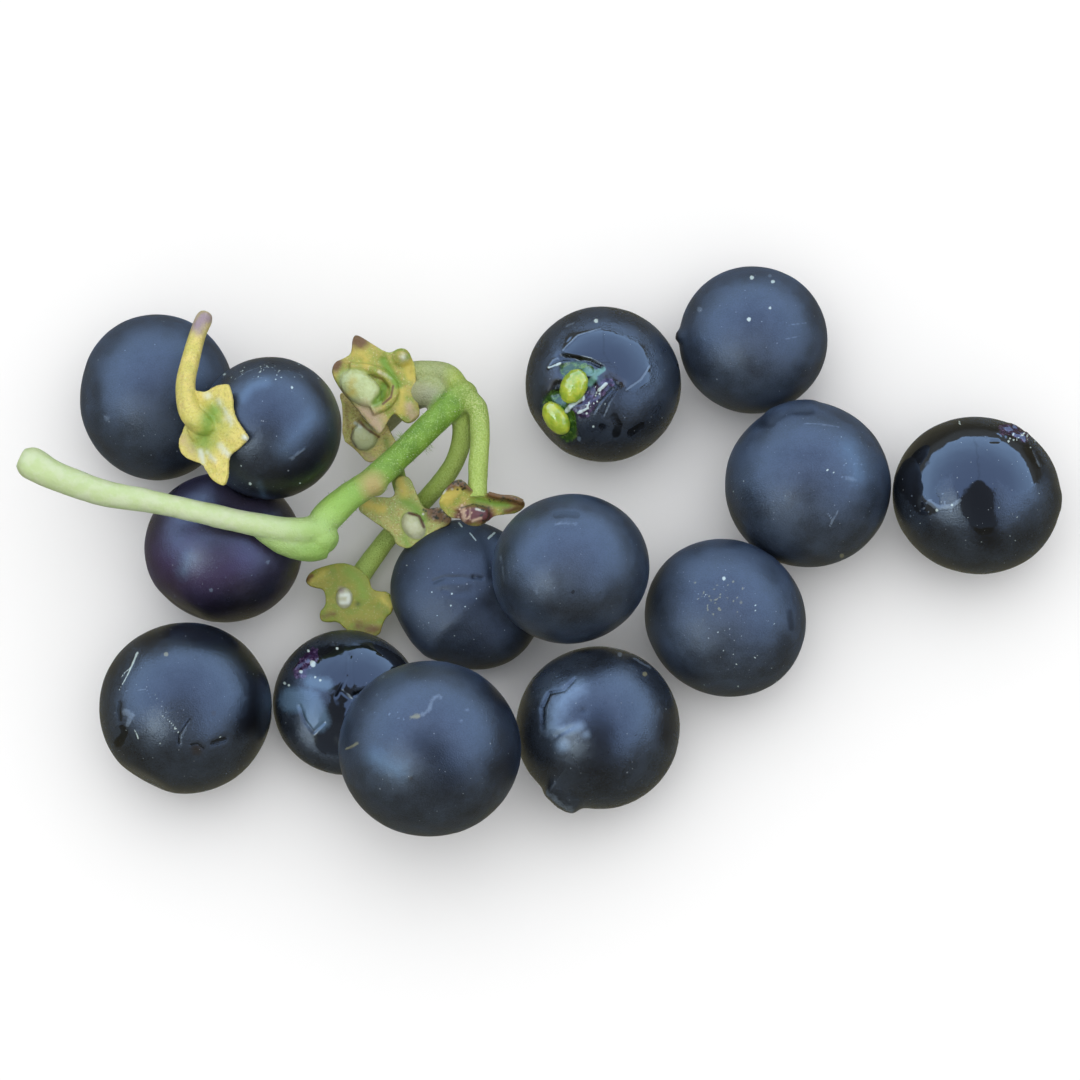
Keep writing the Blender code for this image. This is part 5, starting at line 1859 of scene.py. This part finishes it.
    def fourth(self) -> Calyx:
        """The calyx seen from its side, with a wet purple scar."""
        return Calyx(
            "calyx_4", (476, 506), 9.2,
            ((439.7, 499.2), (443.2, 492.1), (450.3, 483.9), (456.2, 480.3), (463.3, 480.3), (472.7, 491),
             (486.9, 493.3), (497.5, 495.7), (512.8, 496.3), (523.4, 500.4), (525.8, 505.1), (519.9, 511),
             (512.8, 513.4), (497.5, 514.6), (491.6, 516.9), (488, 521.6), (478, 520), (458.5, 517.9),
             (452.6, 518.1), (444.4, 512.2), (438.5, 503.9)),
            facing=(0.0, -0.55, 0.85),
            knobs=(Knob((474, 515.5), 0.55, (1.25, 0.9, 0.7), -8), Knob((473, 510), 0.2, (1.5, 0.5, 0.5), -6)),
            ribs=(Rib(((488, 494), (500, 497), (513, 498), (523, 502)), 0.35, 0.24),),
            marks=(Stroke(((464, 516), (474, 514), (485, 515)), (10, 9), Tone.PURPLE),
                   Stroke(((461, 508), (474, 504), (488, 508)), (1.2, 1.2), Tone.DARK, -0.08, 0.65),
                   Stroke(((463, 508), (464, 520)), (2.6, 3), Tone.PINK, 0.03, 0.7),
                   *scatter(45, 22, (466, 514), (4, 6), 1.0, Tone.PINK),
                   *scatter(46, 12, (482, 512), (5, 5), 0.9, Tone.DARK),
                   Stroke(((470, 508), (470, 520)), (1.4, 1.4), Tone.PINK, 0.06, 0.6),
                   Stroke(((489, 507), (489, 517), (482, 524)), (1.4, 1.4), Tone.DARK, 0.0, 0.6),
                   *scatter(41, 18, (457, 483), (9, 3), 1.1, Tone.WHITE),
                   *scatter(42, 18, (457, 485), (9, 4), 1.1, Tone.DARK),
                   *scatter(43, 14, (508, 499), (9, 2.5), 1.0, Tone.DARK),
                   *scatter(44, 12, (508, 498), (9, 3), 0.9, Tone.WHITE),
                   Stroke(((473, 521), (481, 518)), (2.0, 1.6), Tone.PINK, 0.06, 0.8),
                   # painted glint: a pale streak on the purple scar
                   Stroke(((476, 509), (484, 511)), (1.6, 1.6), Tone.WHITE, 0.04, 0.7),
                   Stroke(((490, 494), (505, 497), (522, 503)), (4.5, 5.5), Tone.BROWN, 0.2, 1.0),
                   Stroke(((505, 511), (520, 508)), (4, 4), Tone.BROWN, 0.1, 0.8),
                   Stroke(((448, 486), (458, 482), (470, 489)), (5, 4), Tone.BROWN, 0.2, 0.9),
                   Stroke(((445, 500), (455, 490)), (7, 6), Tone.YELLOW, 0.1, 0.9),
                   Stroke(((478, 500), (495, 504), (508, 505)), (5, 3), Tone.GREEN, -0.2, 0.8),
                   Stroke(((460, 484), (465, 479)), (1.4, 1.2), Tone.WHITE, 0.1, 0.9),
                   Stroke(((443, 493), (447, 488)), (1.6, 1.4), Tone.WHITE, 0.05, 0.85)))

    def fifth(self) -> Calyx:
        """The olive calyx below the stalk."""
        return Calyx(
            "calyx_5", (346, 598), 3.7,
            ((305.2, 580), (311.4, 571), (325.7, 565.7), (341.8, 562.5), (354.3, 565.7), (361.4, 570.2),
             (369.5, 578.2), (371.3, 588.9), (379.3, 591.6), (388.2, 591.6), (393.6, 599.6), (392.7, 613),
             (386.4, 616.6), (382, 626.4), (380.2, 634.5), (370, 638), (356, 636), (345, 629), (337.8, 621.5),
             (327.5, 622.5), (320.4, 621.1), (319.5, 612.1), (325.7, 605.9), (325.7, 596.1), (323, 588.9),
             (315, 588), (307.9, 585.4)),
            thickness=0.75, skin=self.olive,
            knobs=(Knob((344.5, 598), 0.45, (0.68, 0.85, 0.5), 0, True),),
            marks=(spot(358, 604, 4.5, Tone.DARK, -0.12, 0.6), spot(341, 590, 5, Tone.VIOLET, 0.0, 0.6),
                   Stroke(((341, 595), (349, 595), (348, 603), (341, 603)), (2.6, 2.6), Tone.WHITE, 0.0, 0.8),
                   Stroke(((348, 570), (360, 582), (364, 596)), (11, 9), Tone.GREEN, 0.15, 0.55),
                   Stroke(((311, 580), (324, 574)), (6, 7), Tone.YELLOW, 0.15, 0.6),
                   Stroke(((306, 580), (312, 576)), (4, 3), Tone.BROWN, 0, 0.75),
                   Stroke(((383, 600), (390, 606)), (8, 7), Tone.YELLOW, 0.0, 0.62),
                   Stroke(((358, 626), (378, 630)), (7, 7), Tone.BROWN, 0.0, 0.62),
                   Stroke(((323, 616), (334, 614)), (5, 5), Tone.BROWN, 0.1, 0.6)))

    def sixth(self) -> Calyx:
        """The yellowed calyx that still holds a berry, with its own short stem."""
        return Calyx(
            "calyx_6", (207, 425), 16.8,
            ((195.5, 390.2), (203.6, 392), (207.3, 391.4), (216, 385.8), (223.5, 384.3), (229.1, 384),
             (230.9, 390.8), (232.8, 398.3), (232.8, 407), (234.7, 415.7), (239.7, 424.4), (245.9, 433.1),
             (249, 438.1), (244.6, 443), (238.4, 449.3), (230.9, 454.2), (228.5, 459.2), (228.5, 469.2),
             (227.8, 477.9), (224.7, 485.9), (219.8, 484.7), (212.3, 479.7), (207.3, 471.6), (203, 464.2),
             (194.9, 461.7), (186.2, 458), (180, 450.5), (179.3, 440.5), (183.7, 430.6), (189, 415), (192, 400)),
            facing=(-0.5, -0.15, 0.85), thickness=0.4, skin=self.yellowed, extra=(self.fruit_stem,),
            rests_on="berry_02", knobs=(Knob((202, 426), 0.0, (1.3, 1.7, 0.6), 20),),
            marks=(Stroke(((204, 440), (207, 428), (214, 412)), (17, 14), Tone.GREEN, 0.05, 0.75),
                   Stroke(((196, 428), (208, 434), (222, 426)), (22, 18), Tone.GREEN, 0.0, 0.5),
                   Stroke(((218, 400), (226, 412), (232, 424)), (5, 5), Tone.WHITE, 0, 0.5),
                   Stroke(((207, 452), (214, 460)), (5, 5), Tone.WHITE, 0, 0.5),
                   Stroke(((183, 372), (181, 392), (184, 410)), (3, 4), Tone.BROWN, 0.0, 0.42),
                   spot(208, 395, 6, Tone.WHITE, 0, 0.6), spot(229, 418, 6.5, Tone.WHITE, 0, 0.6),
                   Stroke(((201, 451), (203, 462)), (4, 4), Tone.WHITE, 0, 0.65),
                   Stroke(((222, 447), (229, 455)), (6, 5), Tone.WHITE, 0, 0.6),
                   Stroke(((244, 437), (247, 439)), (3, 2.6), Tone.WHITE, 0.15, 0.8),
                   Stroke(((198, 325), (203, 317), (208, 318)), (11, 9), Tone.VIOLET, 0.0, 0.8),
                   Stroke(((183, 440), (192, 452)), (8, 8), Tone.PINK, 0, 0.5),
                   Stroke(((214, 400), (220, 412)), (3, 3), None, -0.12),
                   Stroke(((212, 452), (218, 470)), (4, 4), None, 0.1),
                   Stroke(((226, 432), (238, 440)), (5, 4), None, 0.1)))

    def build(self, camera: PictureCamera) -> None:
        """Make every calyx.

        Args:
            camera: The camera that their parts are placed through.
        """
        for calyx in (self.first(), self.second(), self.third(), self.fourth(), self.fifth(), self.sixth()):
            piece = calyx.build(camera)
            LOG.info("%s: %d points", piece.name, len(piece.data.vertices))


def main() -> None:
    """Dress the cluster."""
    logging.basicConfig(level=logging.INFO, format="%(name)s %(message)s")
    camera = PictureCamera()
    camera.build()
    Studio().build()
    BerryHeap().build(camera)
    Stalk().build(camera)
    CalyxSet().build(camera)
    for name in ("seed_1", "seed_2"):
        LOG.info("%s: %d points", name, len(Seed(name).build().data.vertices))


if __name__ == "__main__":
    main()
